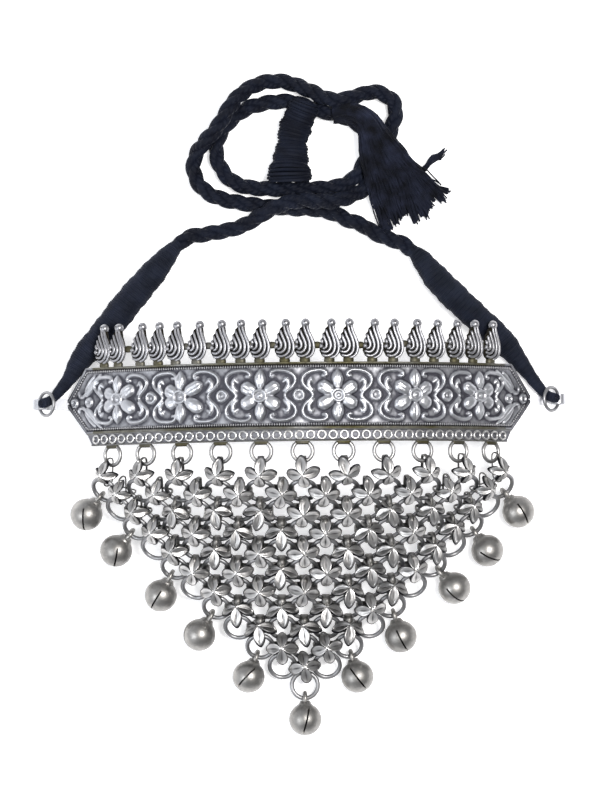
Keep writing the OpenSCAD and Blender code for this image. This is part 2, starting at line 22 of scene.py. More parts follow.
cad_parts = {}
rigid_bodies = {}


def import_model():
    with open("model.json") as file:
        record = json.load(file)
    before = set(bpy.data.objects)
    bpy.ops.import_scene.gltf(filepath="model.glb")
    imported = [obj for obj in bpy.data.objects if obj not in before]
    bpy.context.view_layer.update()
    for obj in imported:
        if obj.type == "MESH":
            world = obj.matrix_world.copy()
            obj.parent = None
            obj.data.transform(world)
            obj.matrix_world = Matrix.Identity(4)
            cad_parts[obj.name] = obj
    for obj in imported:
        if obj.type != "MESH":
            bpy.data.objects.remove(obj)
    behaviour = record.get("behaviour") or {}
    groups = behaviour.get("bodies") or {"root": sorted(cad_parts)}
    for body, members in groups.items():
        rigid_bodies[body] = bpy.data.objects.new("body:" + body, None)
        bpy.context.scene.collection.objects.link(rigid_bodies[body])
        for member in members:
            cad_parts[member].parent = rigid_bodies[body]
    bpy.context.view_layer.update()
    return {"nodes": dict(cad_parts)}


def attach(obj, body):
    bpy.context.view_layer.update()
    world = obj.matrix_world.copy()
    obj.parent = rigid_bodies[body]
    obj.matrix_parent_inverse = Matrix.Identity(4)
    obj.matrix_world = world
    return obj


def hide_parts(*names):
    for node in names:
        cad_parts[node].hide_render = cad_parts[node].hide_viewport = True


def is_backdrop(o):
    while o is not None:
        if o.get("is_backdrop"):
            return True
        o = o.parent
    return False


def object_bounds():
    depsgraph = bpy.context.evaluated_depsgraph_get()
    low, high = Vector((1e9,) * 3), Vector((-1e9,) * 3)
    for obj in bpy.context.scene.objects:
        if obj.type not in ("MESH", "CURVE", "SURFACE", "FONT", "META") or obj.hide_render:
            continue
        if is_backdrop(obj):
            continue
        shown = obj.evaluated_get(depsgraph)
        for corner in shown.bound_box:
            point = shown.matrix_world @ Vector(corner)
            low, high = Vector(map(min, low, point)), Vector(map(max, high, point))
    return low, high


for thing in list(bpy.data.objects):
    bpy.data.objects.remove(thing)
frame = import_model()

# %% [markdown]
# ## The camera
#
# The choker is seen from almost straight above, through a long lens, so that the arch hardly
# swells towards the viewer. A camera could be aimed by hand, but three numbers say it better: how
# far it leans from the vertical, how much it is rolled, and how many millimetres of the table one
# pixel of the picture covers. The camera comes first, because the cords are measured against it.

# %% Camera
MM = 0.001
PICTURE_H = 800
MM_PER_PIXEL = 0.24
AIM = Vector((0.24, 31.1, 0.0)) * MM
CAMERA_FAR = 1.5
ELEVATION = math.radians(87.5)
ROLL = math.radians(0.6)
SENSOR = 36.0


def aim_camera():
    """A camera at the given lean and roll, whose frame spans the picture's height at the table."""
    lens = bpy.data.cameras.new("camera")
    lens.sensor_width = SENSOR
    lens.lens = SENSOR * CAMERA_FAR / (PICTURE_H * MM_PER_PIXEL * MM)
    lens.clip_start, lens.clip_end = 0.05, 20.0
    camera = bpy.data.objects.new("camera", lens)
    back = Vector((0, -math.cos(ELEVATION), math.sin(ELEVATION)))
    right = Vector((math.cos(ROLL), -math.sin(ROLL), 0))
    right = (right - right.dot(back) * back).normalized()
    turn = Matrix((right, back.cross(right), back)).transposed().to_4x4()
    camera.matrix_world = Matrix.Translation(AIM + back * CAMERA_FAR) @ turn
    bpy.context.scene.collection.objects.link(camera)
    bpy.context.scene.camera = camera
    return camera


camera = aim_camera()
print("camera lens in mm:", round(camera.data.lens, 1))

# %% [markdown]
# ## Host meshes
#
# Most pieces start as bare points or lines that carry named values, such as a thread's thickness
# or a link's turn. A node tree then turns them into a surface. Such values could be typed into
# modifiers one by one, but a mesh attribute holds one for every point, and the tree reads it by
# its name. So the first helpers make a host mesh with its attributes.

# %% Host meshes
def new_object(name, points, edges=(), faces=()):
    mesh = bpy.data.meshes.new(name)
    mesh.from_pydata([tuple(p) for p in points], list(edges), list(faces))
    made = bpy.data.objects.new(name, mesh)
    bpy.context.scene.collection.objects.link(made)
    return made


def put_values(made, **columns):
    """Gives each point of a mesh one named number or vector per column."""
    for name, values in columns.items():
        values = np.array(values, np.float32)
        kind, field = ("FLOAT_VECTOR", "vector") if values.ndim == 2 else ("FLOAT", "value")
        column = made.data.attributes.new(name, kind, "POINT")
        column.data.foreach_set(field, values.ravel())
    return made


def line_host(name, lines, **columns):
    """A mesh of bare lines. lines is a list of point lists; a column has a value for every point."""
    edges, count = [], 0
    for line in lines:
        edges += [(count + i, count + i + 1) for i in range(len(line) - 1)]
        count += len(line)
    return put_values(new_object(name, np.concatenate(lines), edges), **columns)


def smooth_all(mesh):
    mesh.polygons.foreach_set("use_smooth", [True] * len(mesh.polygons))


print("CAD nodes to dress:", len(frame["nodes"]))

# %% [markdown]
# ## Plain results
#
# A node tree's result is only shown, not kept, and the export needs real meshes. So each tree
# runs once on its host, the evaluated mesh is copied, and the host is deleted. An input of the
# tree is set by its socket's identifier, which is found by the input's name.

# %% Plain results
def apply_tree(host, tree, **inputs):
    """Runs a node tree on the host and returns what it makes as a plain mesh object."""
    name = host.name
    modifier = host.modifiers.new(tree.name, "NODES")
    modifier.node_group = tree
    for item in tree.interface.items_tree:
        if item.item_type == "SOCKET" and item.in_out == "INPUT" and item.name in inputs:
            modifier[item.identifier] = inputs[item.name]
    graph = bpy.context.evaluated_depsgraph_get()
    mesh = bpy.data.meshes.new_from_object(
        host.evaluated_get(graph), preserve_all_data_layers=True, depsgraph=graph
    )
    host.modifiers.remove(modifier)
    bpy.data.objects.remove(host)
    made = bpy.data.objects.new(name, mesh)
    mesh.name = made.name = name
    bpy.context.scene.collection.objects.link(made)
    return made


print("meshes before the first tree:", len(bpy.data.meshes))

# %% [markdown]
# ## Seating a piece
#
# Every new piece rides on the choker's one body and stands for one or more plain CAD nodes, which
# are then hidden. Cotton sags onto the table, so the underside of a soft piece is pressed flat there
# instead of sinking in.

# %% Seats
TABLE_GAP = 0.02


def press_flat(piece):
    """Soft cotton is flat where it lies on the table, so no point is lower than the table."""
    for vertex in piece.data.vertices:
        vertex.co.z = max(vertex.co.z, TABLE_GAP * MM)


def seat(piece, slot, *nodes):
    """The piece rides on the one body and stands for these CAD nodes. A cotton slot presses it flat."""
    if slot == "cotton":
        press_flat(piece)
    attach(piece, "root")
    if nodes:
        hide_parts(*nodes)
    lowest = min(vertex.co.z for vertex in piece.data.vertices) / MM
    print(piece.name, "faces:", len(piece.data.polygons), "lowest point in mm:", round(lowest, 2))
    return piece


# %% [markdown] ## Node trees in a few words  A tree could be drawn by hand in the editor, but
# then nobody can read why it is so.

# %% Node trees
class TreeMaker:
    """Adds nodes to a new tree. A socket given as an input is linked, any other value is set."""

    def __init__(self, name, inputs):
        self.tree = bpy.data.node_groups.new(name, "GeometryNodeTree")
        sockets = self.tree.interface
        sockets.new_socket("Geometry", in_out="INPUT", socket_type="NodeSocketGeometry")
        for label, (kind, value) in inputs.items():
            made = sockets.new_socket(label, in_out="INPUT", socket_type="NodeSocket" + kind)
            if value is not None:
                made.default_value = value
        sockets.new_socket("Geometry", in_out="OUTPUT", socket_type="NodeSocketGeometry")
        self.given = self.tree.nodes.new("NodeGroupInput").outputs

    def add(self, kind, inputs, out=0, **settings):
        node = self.tree.nodes.new(kind)
        for key, value in settings.items():
            setattr(node, key, value)
        for key, value in inputs.items():
            if isinstance(value, bpy.types.NodeSocket):
                self.tree.links.new(value, node.inputs[key])
            else:
                node.inputs[key].default_value = value
        return node.outputs[out]

    def math(self, operation, *values):
        return self.add("ShaderNodeMath", dict(enumerate(values)), operation=operation)

    def vector(self, operation, *values):
        return self.add("ShaderNodeVectorMath", dict(enumerate(values)), operation=operation)

    def scaled(self, vector, amount):
        return self.add("ShaderNodeVectorMath", {0: vector, "Scale": amount}, operation="SCALE")

    def value(self, name, data_type="FLOAT"):
        return self.add("GeometryNodeInputNamedAttribute", {"Name": name}, data_type=data_type)

    def finish(self, geometry):
        """Realizes what is left of instances, sets the material and ends the tree."""
        real = self.add("GeometryNodeRealizeInstances", {"Geometry": geometry})
        smooth = self.add("GeometryNodeSetShadeSmooth", {"Geometry": real})
        done = self.add(
            "GeometryNodeSetMaterial", {"Geometry": smooth, "Material": self.given["Material"]}
        )
        last = self.tree.nodes.new("NodeGroupOutput")
        self.tree.links.new(done, last.inputs[0])
        return self.tree


print("a tree maker can:", [word for word in vars(TreeMaker) if not word.startswith("_")])

# %% [markdown]
# ## Helpers for looks
#
# A look is a node tree as well. shader_tree() makes a material with an add() like the tree
# maker's, and blend_colours() mixes two colours by a share that other nodes work out.

# %% Helpers for looks
def shader_tree(name):
    material = bpy.data.materials.new(name)
    material.use_nodes = True
    tree = material.node_tree
    shader = tree.nodes["Principled BSDF"]

    def add(kind, inputs, out=0, **settings):
        node = tree.nodes.new(kind)
        for key, value in settings.items():
            setattr(node, key, value)
        for key, value in inputs.items():
            if isinstance(value, bpy.types.NodeSocket):
                tree.links.new(value, node.inputs[key])
            else:
                node.inputs[key].default_value = value
        return node.outputs[out]

    return material, tree, shader, add


def blend_colours(add, share, first, second):
    """The first colour where share is 0, and the second where it is 1."""
    return add(
        "ShaderNodeMix", {"Factor": share, 6: (*first, 1), 7: (*second, 1)}, out=2, data_type="RGBA"
    )


print("materials of the CAD model:", len(bpy.data.materials))

# %% [markdown]
# ## Black cotton
#
# The cord, its wound sleeves and the tassel are black cotton with a faint blue cast. Cotton has
# no mirror shine: light catches the loose fibres at the edge of each thread, which the sheen of
# the shader gives. The fine yarns of a strand are too thin to model, so a slanted wave along the
# strand's own UV map raises them, and an uneven noise breaks the wave up.

# %% Cotton materials
FIBRE_SCALE, TONE_SCALE = 2600.0, 260.0
SHEEN = 0.035


def cotton(name, dark, light, yarn_slant, yarn_count, yarn_depth):
    """Twisted cotton: yarns run round the strand yarn_count times for each 10 mm of its length."""
    material, tree, shader, add = shader_tree(name)
    place = add("ShaderNodeTexCoord", {}, out="Object")
    map_uv = add("ShaderNodeUVMap", {}, uv_map="strand")
    parts = tree.nodes.new("ShaderNodeSeparateXYZ")
    tree.links.new(map_uv, parts.inputs[0])
    fuzz = add("ShaderNodeTexNoise", {"Vector": place, "Scale": FIBRE_SCALE, "Detail": 3.0})
    tone = add("ShaderNodeTexNoise", {"Vector": place, "Scale": TONE_SCALE, "Detail": 2.0})
    round_it = add("ShaderNodeMath", {0: parts.outputs[0], 1: yarn_slant}, operation="MULTIPLY")
    along_it = add("ShaderNodeMath", {0: parts.outputs[1], 1: yarn_count * 100}, operation="MULTIPLY")
    turn = add("ShaderNodeMath", {0: round_it, 1: along_it}, operation="ADD")
    angle = add("ShaderNodeMath", {0: turn, 1: 2 * math.pi}, operation="MULTIPLY")
    wave = add("ShaderNodeMath", {0: angle}, operation="SINE")
    mixed = add("ShaderNodeMath", {0: fuzz, 1: 1.2, 2: wave}, operation="MULTIPLY_ADD")
    bump = add("ShaderNodeBump", {"Strength": 0.7, "Distance": yarn_depth, "Height": mixed})
    share = add("ShaderNodeMapRange", {"Value": tone, "From Min": 0.35, "From Max": 0.75})
    tree.links.new(blend_colours(add, share, dark, light), shader.inputs["Base Color"])
    tree.links.new(bump, shader.inputs["Normal"])
    shader.inputs["Roughness"].default_value = 0.7
    shader.inputs["Specular IOR Level"].default_value = 0.16
    shader.inputs["Sheen Weight"].default_value = SHEEN
    shader.inputs["Sheen Roughness"].default_value = 0.45
    shader.inputs["Sheen Tint"].default_value = (0.5, 0.56, 0.8, 1)
    return material


rope_cotton = cotton("rope_cotton", (0.002, 0.003, 0.008), (0.006, 0.009, 0.02), 3, 9, 0.00012)
sleeve_cotton = cotton("sleeve_cotton", (0.005, 0.007, 0.014), (0.013, 0.017, 0.032), 2, 30, 0.00005)
fringe_cotton = cotton("fringe_cotton", (0.001, 0.0015, 0.004), (0.016, 0.02, 0.04), 2, 40, 0.00003)
print("cotton materials:", rope_cotton.name, sleeve_cotton.name, fringe_cotton.name)

# %% [markdown]
# ## Strands that twist along a path
#
# A rope is three strands that wind round one line, and a sleeve is one thin thread that winds
# round a thick core. Both are the same form: a helix whose centre is a path. Meshing the helix in
# Python would do, but a node tree says it directly: copy the path once per strand, push each
# point outwards at an angle that grows with the length, and give the line a round section.
# The path's points carry two values in metres: lay, the helix's radius, and thick, the strand's.

# %% The strand tree
def strand_tree():
    make = TreeMaker("strands_along_a_path", {
        "Pitch": ("Float", 0.012), "Strands": ("Int", 3), "Step": ("Float", 0.0005),
        "Sides": ("Int", 8), "Flatness": ("Float", 1.0), "Material": ("Material", None),
    })
    given = make.given
    line = make.add("GeometryNodeMeshToCurve", {"Mesh": given["Geometry"]})
    line = make.add(
        "GeometryNodeResampleCurve", {"Curve": line, "Length": given["Step"]}, mode="LENGTH"
    )
    line = make.add("GeometryNodeSetCurveNormal", {"Curve": line}, mode="Z_UP")
    length = make.add("GeometryNodeSplineParameter", {}, out="Length")
    line = make.add(
        "GeometryNodeStoreNamedAttribute",
        {"Geometry": line, "Name": "along", "Value": length}, data_type="FLOAT", domain="POINT",
    )
    number = make.add(
        "GeometryNodeDuplicateElements", {"Geometry": line, "Amount": given["Strands"]},
        out="Duplicate Index", domain="SPLINE",
    )
    turns = make.math("DIVIDE", make.value("along"), given["Pitch"])
    share = make.math("DIVIDE", number, given["Strands"])
    angle = make.math("MULTIPLY", make.math("ADD", turns, share), 2 * math.pi)
    side = make.add("GeometryNodeInputNormal", {})
    tangent = make.add("GeometryNodeInputTangent", {})
    up = make.vector("CROSS_PRODUCT", tangent, side)
    lay = make.value("lay")
    low = make.math("MULTIPLY", lay, given["Flatness"])
    sideways = make.scaled(side, make.math("MULTIPLY", make.math("COSINE", angle), lay))
    upwards = make.scaled(up, make.math("MULTIPLY", make.math("SINE", angle), low))
    wound = make.add(
        "GeometryNodeSetPosition",
        {"Geometry": number.node.outputs["Geometry"], "Offset": make.vector("ADD", sideways, upwards)},
    )
    section = make.add(
        "GeometryNodeCurvePrimitiveCircle", {"Resolution": given["Sides"], "Radius": 1.0}
    )
    tube = make.add(
        "GeometryNodeCurveToMesh",
        {"Curve": wound, "Profile Curve": section, "Scale": make.value("thick"), "Fill Caps": True},
    )
    return make.finish(tube)


strands = strand_tree()
print("node tree:", strands.name, "nodes:", len(strands.nodes))

# %% [markdown]
# ## Smooth paths
#
# A cord bends softly, so a few listed points have to become one smooth curve through all of them.
# A curve object could do it, but its rows hold only a place and a radius. This function carries
# any further columns along, and sets its points at even steps.

# %% Smooth paths
def smooth_path(points, step):
    """A curve through all the points, whose rows may hold more than x, y and z, every step along."""
    points = np.array(points, float)
    points = np.vstack([2 * points[0] - points[1], points, 2 * points[-1] - points[-2]])
    dense = []
    for a, b, c, d in zip(points, points[1:], points[2:], points[3:]):
        for t in np.linspace(0, 1, 12, endpoint=False):
            bend = (2 * a - 5 * b + 4 * c - d) * t**2 + (3 * b - a - 3 * c + d) * t**3
            dense.append(0.5 * (2 * b + (c - a) * t + bend))
    dense = np.array([*dense, points[-2]])
    along = np.insert(np.cumsum(np.linalg.norm(np.diff(dense[:, :3], axis=0), axis=1)), 0, 0)
    places = np.linspace(0, along[-1], max(3, round(along[-1] / step) + 1))
    return np.stack([np.interp(places, along, column) for column in dense.T], axis=1)


def path_length(path):
    return float(np.linalg.norm(np.diff(path[:, :3], axis=0), axis=1).sum())


corner = smooth_path([(1, 0, 0), (math.sqrt(0.5), math.sqrt(0.5), 0), (0, 1, 0)], 0.1)
print("a quarter circle by three points:", round(path_length(corner), 3), "of", round(math.pi / 2, 3))

# %% [markdown]
# ## A map for the yarns
#
# The yarns' wave needs to know where it is on a strand: how far round, and how far along. The
# node tree stores the length along as an attribute, and the corners' order tells the way round,
# so both are written to a UV map that the cotton reads. Projecting a map would smear at the bends.

# %% Strand maps
def map_strands(made, sides):
    """A UV map named strand: U once round each tube, V its length from the start in metres."""
    mesh = made.data
    corners = np.zeros(len(mesh.loops), int)
    mesh.loops.foreach_get("vertex_index", corners)
    along = np.zeros(len(mesh.vertices))
    mesh.attributes["along"].data.foreach_get("value", along)
    round_at = (corners % sides).astype(float)
    sizes = np.zeros(len(mesh.polygons), int)
    mesh.polygons.foreach_get("loop_total", sizes)
    face_of = np.repeat(np.arange(len(sizes)), sizes)
    widest = np.zeros(len(sizes))
    np.maximum.at(widest, face_of, round_at)
    round_at[(round_at == 0) & (widest[face_of] == sides - 1)] = sides
    places = np.stack([round_at / sides, along[corners]], axis=1)
    mesh.uv_layers.new(name="strand").data.foreach_set("uv", places.astype(np.float32).ravel())
    return made


print("maps that the cotton reads:", ["strand"])

# %% [markdown]
# ## The two cords
#
# Each cord leaves its end ring inside a sleeve, and runs to the tangle above the collar. The left
# one goes over the other and round the inner loop that the slider holds, the right one makes the
# wide outer loop and ends under the tassel. Their routes are given as lists of points, in
# millimetres, because a loosely laid cord follows no rule. They are the CAD cords' own points. A
# sleeve's fourth column is its radius.

# %% Routes
sleeve_left_route = [
    (-61.7, 30.7, 5.5, 1.1), (-60.7, 30.9, 4.6, 1.2), (-59.1, 31.8, 3.2, 1.2), (-57, 34.2, 2.2, 1.45),
    (-54.7, 37.2, 2, 1.9), (-51.5, 42, 3, 2.9), (-46.5, 47.5, 3.5, 3.4), (-40.5, 55, 3.6, 3.5),
    (-34, 62.5, 3.2, 3.1), (-30.6, 66.6, 2.3, 2.2), (-29.2, 68.1, 1.8, 1.75), (-28, 69, 1.8, 1.75),
]
sleeve_right_route = [
    (61.7, 30.7, 5.5, 1.1), (60.7, 30.9, 4.6, 1.2), (59.1, 31.8, 3.2, 1.2), (57, 34.2, 2.2, 1.45),
    (53.8, 38.5, 2.1, 2), (49, 44.5, 3.2, 3.1), (41.5, 51.5, 3.5, 3.4), (34, 59, 3.4, 3.3),
    (29.6, 64.6, 2.5, 2.4), (28.2, 66.1, 1.8, 1.75), (27, 67, 1.8, 1.75),
]
cord_left_route = [
    (-28, 69, 1.8), (-26, 70.5, 1.8), (-22.5, 71, 1.8), (-19.5, 71.5, 1.8), (-16.5, 72, 1.9),
    (-13, 73, 2.8), (-10, 74.5, 4.3), (-7, 76.2, 5.7), (-4, 77.6, 5.7), (-1, 78.4, 5.6),
    (2.5, 78.7, 5.5), (6, 78.4, 5.1), (9.5, 78.6, 4.3), (13, 79.8, 2.4), (16, 81.5, 1.9),
    (18.4, 84.4, 1.9), (19.3, 88.4, 1.9), (18.3, 93, 1.9), (15.8, 96.4, 1.9), (12.5, 98.5, 1.9),
    (9, 99.7, 1.9), (5.5, 100.6, 1.9), (2, 101.8, 1.9), (-1, 102.7, 1.9), (-4.5, 102.8, 1.9),
    (-8, 102.3, 1.9), (-12, 101.1, 1.9), (-15.7, 98.4, 1.9), (-18.3, 95, 1.9), (-19.3, 91, 1.9),
    (-18.3, 87.2, 1.9), (-15.8, 84, 1.9), (-12.2, 82.4, 1.9), (-8, 81.9, 1.9), (-3, 81.7, 1.9),
    (2, 81.7, 1.9), (6, 81.8, 1.9), (9.6, 82.2, 1.9), (12.8, 83.4, 1.9), (15.2, 85.8, 1.9),
    (16.6, 89, 2),
]
cord_right_route = [
    (27, 67, 1.8), (25, 68.5, 1.8), (22, 69.5, 1.8), (18.5, 71, 1.8), (15.5, 73, 1.8),
    (12.5, 74, 1.8), (9.5, 75.5, 1.8), (6, 76.5, 1.8), (2.5, 77, 1.8), (-0.5, 77, 1.8),
    (-4, 77.3, 1.9), (-7.5, 77.6, 1.9), (-11, 78.1, 1.9), (-14, 78.6, 1.9), (-17.6, 79.4, 1.9),
    (-21.2, 80.9, 1.9), (-23.8, 83.6, 1.9), (-24.8, 87.4, 1.9), (-23.9, 90.6, 2.6), (-21.9, 93.2, 4.7),
    (-19.4, 95.8, 5.8), (-17.5, 98.6, 5.9), (-15.9, 101.3, 5.4), (-14, 103.7, 4.1), (-11.2, 106, 2.7),
    (-7.6, 107.5, 1.9), (-3.5, 107.7, 1.9), (0, 106.8, 2), (3.5, 105.2, 3.4), (7, 103.4, 4.1),
    (10.5, 102.8, 4.4), (14.5, 103.8, 3.4), (18.5, 104.9, 2.2), (21.5, 104.1, 2), (23.6, 102.2, 2),
    (23.9, 99.5, 2.2), (23.1, 96.6, 2.3), (22.2, 94.2, 2.3),
]
print("points of the two routes:", len(cord_left_route), len(cord_right_route))

# %% [markdown]
# ## Twisting the cords
#
# The cord is a rope of three strands, 3.5 mm thick on average and a little more over the crests.
# Inside its sleeve it is drawn tight and thin. The strand tree twists it: the strands' lay and
# thickness are shares of the rope's own girth, so one number makes the whole rope thinner.

# %% Twist the cords
CORD_D, ROPE_D = 3.5, 3.9
PATH_STEP = 1.0
ROPE_PITCH, ROPE_STEP = 12.5, 0.45
STRAND_SHARE = 0.27
TIGHTEST = 0.4


def rope(name, sleeve_route, cord_route):
    """Three strands along the cord, drawn tight where the sleeve grips it at the ring."""
    inside = [(x, y, z, min(1.0, 0.8 * 2 * r / ROPE_D)) for x, y, z, r in sleeve_route[:-1]]
    outside = [(x, y, z, 1.0) for x, y, z in cord_route]
    path = smooth_path(inside + outside, PATH_STEP)
    girth = np.clip(path[:, 3], TIGHTEST, 1.0) * ROPE_D * MM
    host = line_host(
        name, [path[:, :3] * MM],
        lay=girth * (0.5 - STRAND_SHARE), thick=girth * STRAND_SHARE,
    )
    made = apply_tree(
        host, strands, Pitch=ROPE_PITCH * MM, Strands=3, Step=ROPE_STEP * MM, Sides=10,
        Material=rope_cotton,
    )
    return map_strands(made, 10), path[:, :3] * MM


rope_left, left_path = rope("rope_left", sleeve_left_route, cord_left_route)
rope_right, right_path = rope("rope_right", sleeve_right_route, cord_right_route)
seat(rope_left, "cotton", "cord_left")
seat(rope_right, "cotton", "cord_right")
print("tightest girth in mm:", round(TIGHTEST * ROPE_D, 2))

# %% [markdown]
# ## Wound sleeves
#
# A sleeve of thread thickens each cord near the collar and tapers off at both ends. The real one
# is a single thread wound turn beside turn, so it is made so: the strand tree again, with one
# strand and a fine pitch, and a lay that follows the sleeve's radius. A smooth spindle with a bump
# would be cheaper, but its outline would be too clean.

# %% Wind the sleeves
THREAD_R = 0.3
THREAD_PITCH = 0.46
TURN_POINTS = 14


def winding(
    name, route, flatness=1.0, pitch=THREAD_PITCH, thread=THREAD_R, uneven=0.05, material=sleeve_cotton
):
    """One thread wound round a path whose fourth column is the radius in millimetres."""
    path = smooth_path(route, PATH_STEP / 2)
    along = np.arange(len(path))
    wobble = 1 + uneven * np.sin(along * 0.9) * np.sin(along * 0.37 + 1)
    host = line_host(
        name, [path[:, :3] * MM],
        lay=(path[:, 3] * wobble - thread) * MM, thick=np.full(len(path), thread * MM),
    )
    made = apply_tree(
        host, strands, Pitch=pitch * MM, Strands=1, Step=pitch / TURN_POINTS * MM, Sides=6,
        Flatness=flatness, Material=material,
    )
    return map_strands(made, 6)


sleeve_left = seat(winding("sleeve_left", sleeve_left_route), "cotton", "cord_wrap_left")
sleeve_right = seat(winding("sleeve_right", sleeve_right_route), "cotton", "cord_wrap_right")

# %% [markdown]
# ## The slider
#
# The slider is a flat, wound knot that holds the inner loop together. It is wider at its foot
# than at its top, and coarser than the sleeves. A knot could be sculpted, but the same winding
# makes it, pressed flat because it lies on the table, with a coarse pitch and some unevenness.

# %% Slider
slider_route = [
    (-1.7, 83.4, 3.7, 4.8), (-1.7, 85.6, 3.9, 5.4), (-1.5, 88, 3.3, 4.6), (-1.2, 90.5, 2.9, 4),
    (-1, 93.5, 2.8, 3.8), (-0.2, 96.4, 2.9, 3.9), (0.9, 99, 3.6, 3.9), (1.9, 101.2, 4.2, 3.6),
    (2.5, 102.6, 4.3, 2.9),
]
slider = winding(
    "slider", slider_route, flatness=0.68, pitch=0.62, thread=0.42, uneven=0.09, material=rope_cotton
)
seat(slider, "cotton", "cord_slider")

# %% [markdown]
# ## The tassel
#
# The right cord ends in a tassel: a head, and threads that fan out and fray at the tips. Guide
# lines say where its locks lie. A node tree copies each guide some two dozen times, pushes every
# copy aside by its own random amount, lets it wave more towards the tip, and gives it a thin
# section. Hair curves would look alike, but they are lost on export, and these are a plain mesh.

# %% The fringe tree
def fringe_tree():
    make = TreeMaker("threads_beside_guides", {
        "Threads": ("Int", 40), "Points": ("Int", 14), "Wave": ("Float", 0.0004),
        "Seed": ("Int", 4), "Material": ("Material", None),
    })
    given = make.given
    line = make.add("GeometryNodeMeshToCurve", {"Mesh": given["Geometry"]})
    line = make.add(
        "GeometryNodeResampleCurve", {"Curve": line, "Count": given["Points"]}, mode="COUNT"
    )
    line = make.add("GeometryNodeSetCurveNormal", {"Curve": line}, mode="Z_UP")
    length = make.add("GeometryNodeSplineParameter", {}, out="Length")
    line = make.add(
        "GeometryNodeStoreNamedAttribute",
        {"Geometry": line, "Name": "along", "Value": length}, data_type="FLOAT", domain="POINT",
    )
    line = make.add(
        "GeometryNodeDuplicateElements", {"Geometry": line, "Amount": given["Threads"]},
        domain="SPLINE",
    )
    number = make.add("GeometryNodeInputIndex", {})
    drawn = make.add(
        "FunctionNodeRandomValue",
        {0: (-1, -1, -1), 1: (1, 1, 1), "ID": number, "Seed": given["Seed"]},
        data_type="FLOAT_VECTOR",
    )
    own = make.add("GeometryNodeFieldOnDomain", {0: drawn}, domain="CURVE", data_type="FLOAT_VECTOR")
    flat = make.vector("MULTIPLY", own, (1.0, 1.0, 0.35))
    aside = make.scaled(flat, make.value("spread"))
    place = make.add("GeometryNodeInputPosition", {})
    shifted = make.vector("ADD", place, make.scaled(own, 0.02))
    noise = make.add(
        "ShaderNodeTexNoise", {"Vector": shifted, "Scale": 160.0, "Detail": 1.0}, out="Color"
    )
    centred = make.vector("SUBTRACT", noise, (0.5, 0.5, 0.5))
    share = make.add("GeometryNodeSplineParameter", {}, out="Factor")
    wave = make.scaled(centred, make.math("MULTIPLY", given["Wave"], share))
    moved = make.add(
        "GeometryNodeSetPosition", {"Geometry": line, "Offset": make.vector("ADD", aside, wave)}
    )
    section = make.add("GeometryNodeCurvePrimitiveCircle", {"Resolution": 4, "Radius": 1.0})
    tube = make.add(
        "GeometryNodeCurveToMesh",
        {"Curve": moved, "Profile Curve": section, "Scale": make.value("thick"), "Fill Caps": True},
    )
    return make.finish(tube)


fringe = fringe_tree()
print("node tree:", fringe.name, "nodes:", len(fringe.nodes))

# %% [markdown]
# ## Guides for the locks
#
# The tassel's middle line starts on the rope, bends round the head and widens like a fan. The
# locks lie side by side across it: each guide keeps its own share of the fan's half width, and at
# the head the middle ones ride higher, because the head is round. A few stray threads leave the
# fan by themselves. The random generator is made here with a fixed seed and used to the end.

# %% Guides for the locks
rng = np.random.default_rng(11)
FULL_SIDE, SPARE_SIDE = 1.25, 0.82
LOCKS, SHORTER = 15, 4
tassel_axis = [
    (9.2, 99.6, 3.6, 1.5, 1.4), (13.4, 100.1, 5.2, 1.8, 1.8), (17.3, 97.7, 5.8, 2.2, 1.8),
    (19.6, 93, 5.5, 3.4, 0.9), (22, 88.5, 4.9, 4.8, 0.3), (24.6, 84, 3.4, 5.8, 0),
]
lock_ends = [
    (20.9, 71.8, 0.9), (23.4, 72.2, 0.9), (26, 73.4, 0.9), (28.8, 74, 0.9), (31.6, 75.4, 0.9),
    (33.9, 77.4, 0.9), (35.6, 80, 0.9),
]
stray_threads = [
    [(25.4, 87.7, 4.2), (27.4, 86, 2.4), (29.4, 85.6, 1.2), (32, 88, 0.8), (35.5, 90.6, 0.6)],
    [(26, 86.5, 4.0), (29, 85, 1.6), (31, 86.5, 1.0), (33, 89, 0.8), (34.6, 89.4, 0.6)],
    [(27.5, 84, 3.4), (31, 82.5, 1.4), (34, 81.6, 0.8), (36.2, 80.9, 0.6)],
]


def lock_guide(share):
    """The middle line of a lock, from the bound head to its own end. share runs from -1 to 1."""
    line = []
    for i, (x, y, z, half, crown) in enumerate(tassel_axis):
        before, after = tassel_axis[max(i - 1, 0)], tassel_axis[min(i + 1, len(tassel_axis) - 1)]
        way = Vector((after[0] - before[0], after[1] - before[1])).normalized()
        aside = share * half * (SPARE_SIDE if share > 0 else FULL_SIDE)
        line.append((x - way.y * aside, y + way.x * aside, z + crown * (1 - share**2)))
    places = np.linspace(-1, 1, len(lock_ends))
    end = [float(np.interp(share, places, column)) for column in zip(*lock_ends)]
    middle = [(a + b) / 2 for a, b in zip(line[-1], end)]
    return line + [(middle[0], middle[1], middle[2] - 0.3), end]


guides = []
for share in np.linspace(-1, 1, LOCKS):
    guide = smooth_path(lock_guide(share), PATH_STEP)
    guides.append(guide[:len(guide) - rng.integers(0, SHORTER)])
guides += [smooth_path(line, PATH_STEP) for line in stray_threads]
print("locks and stray threads:", LOCKS, len(stray_threads))

# %% [markdown]
# ## Threads and the head
#
# The fringe tree turns the guides into threads. Under them lies the head's core, a short winding,
# so that no gap between threads shows the table.

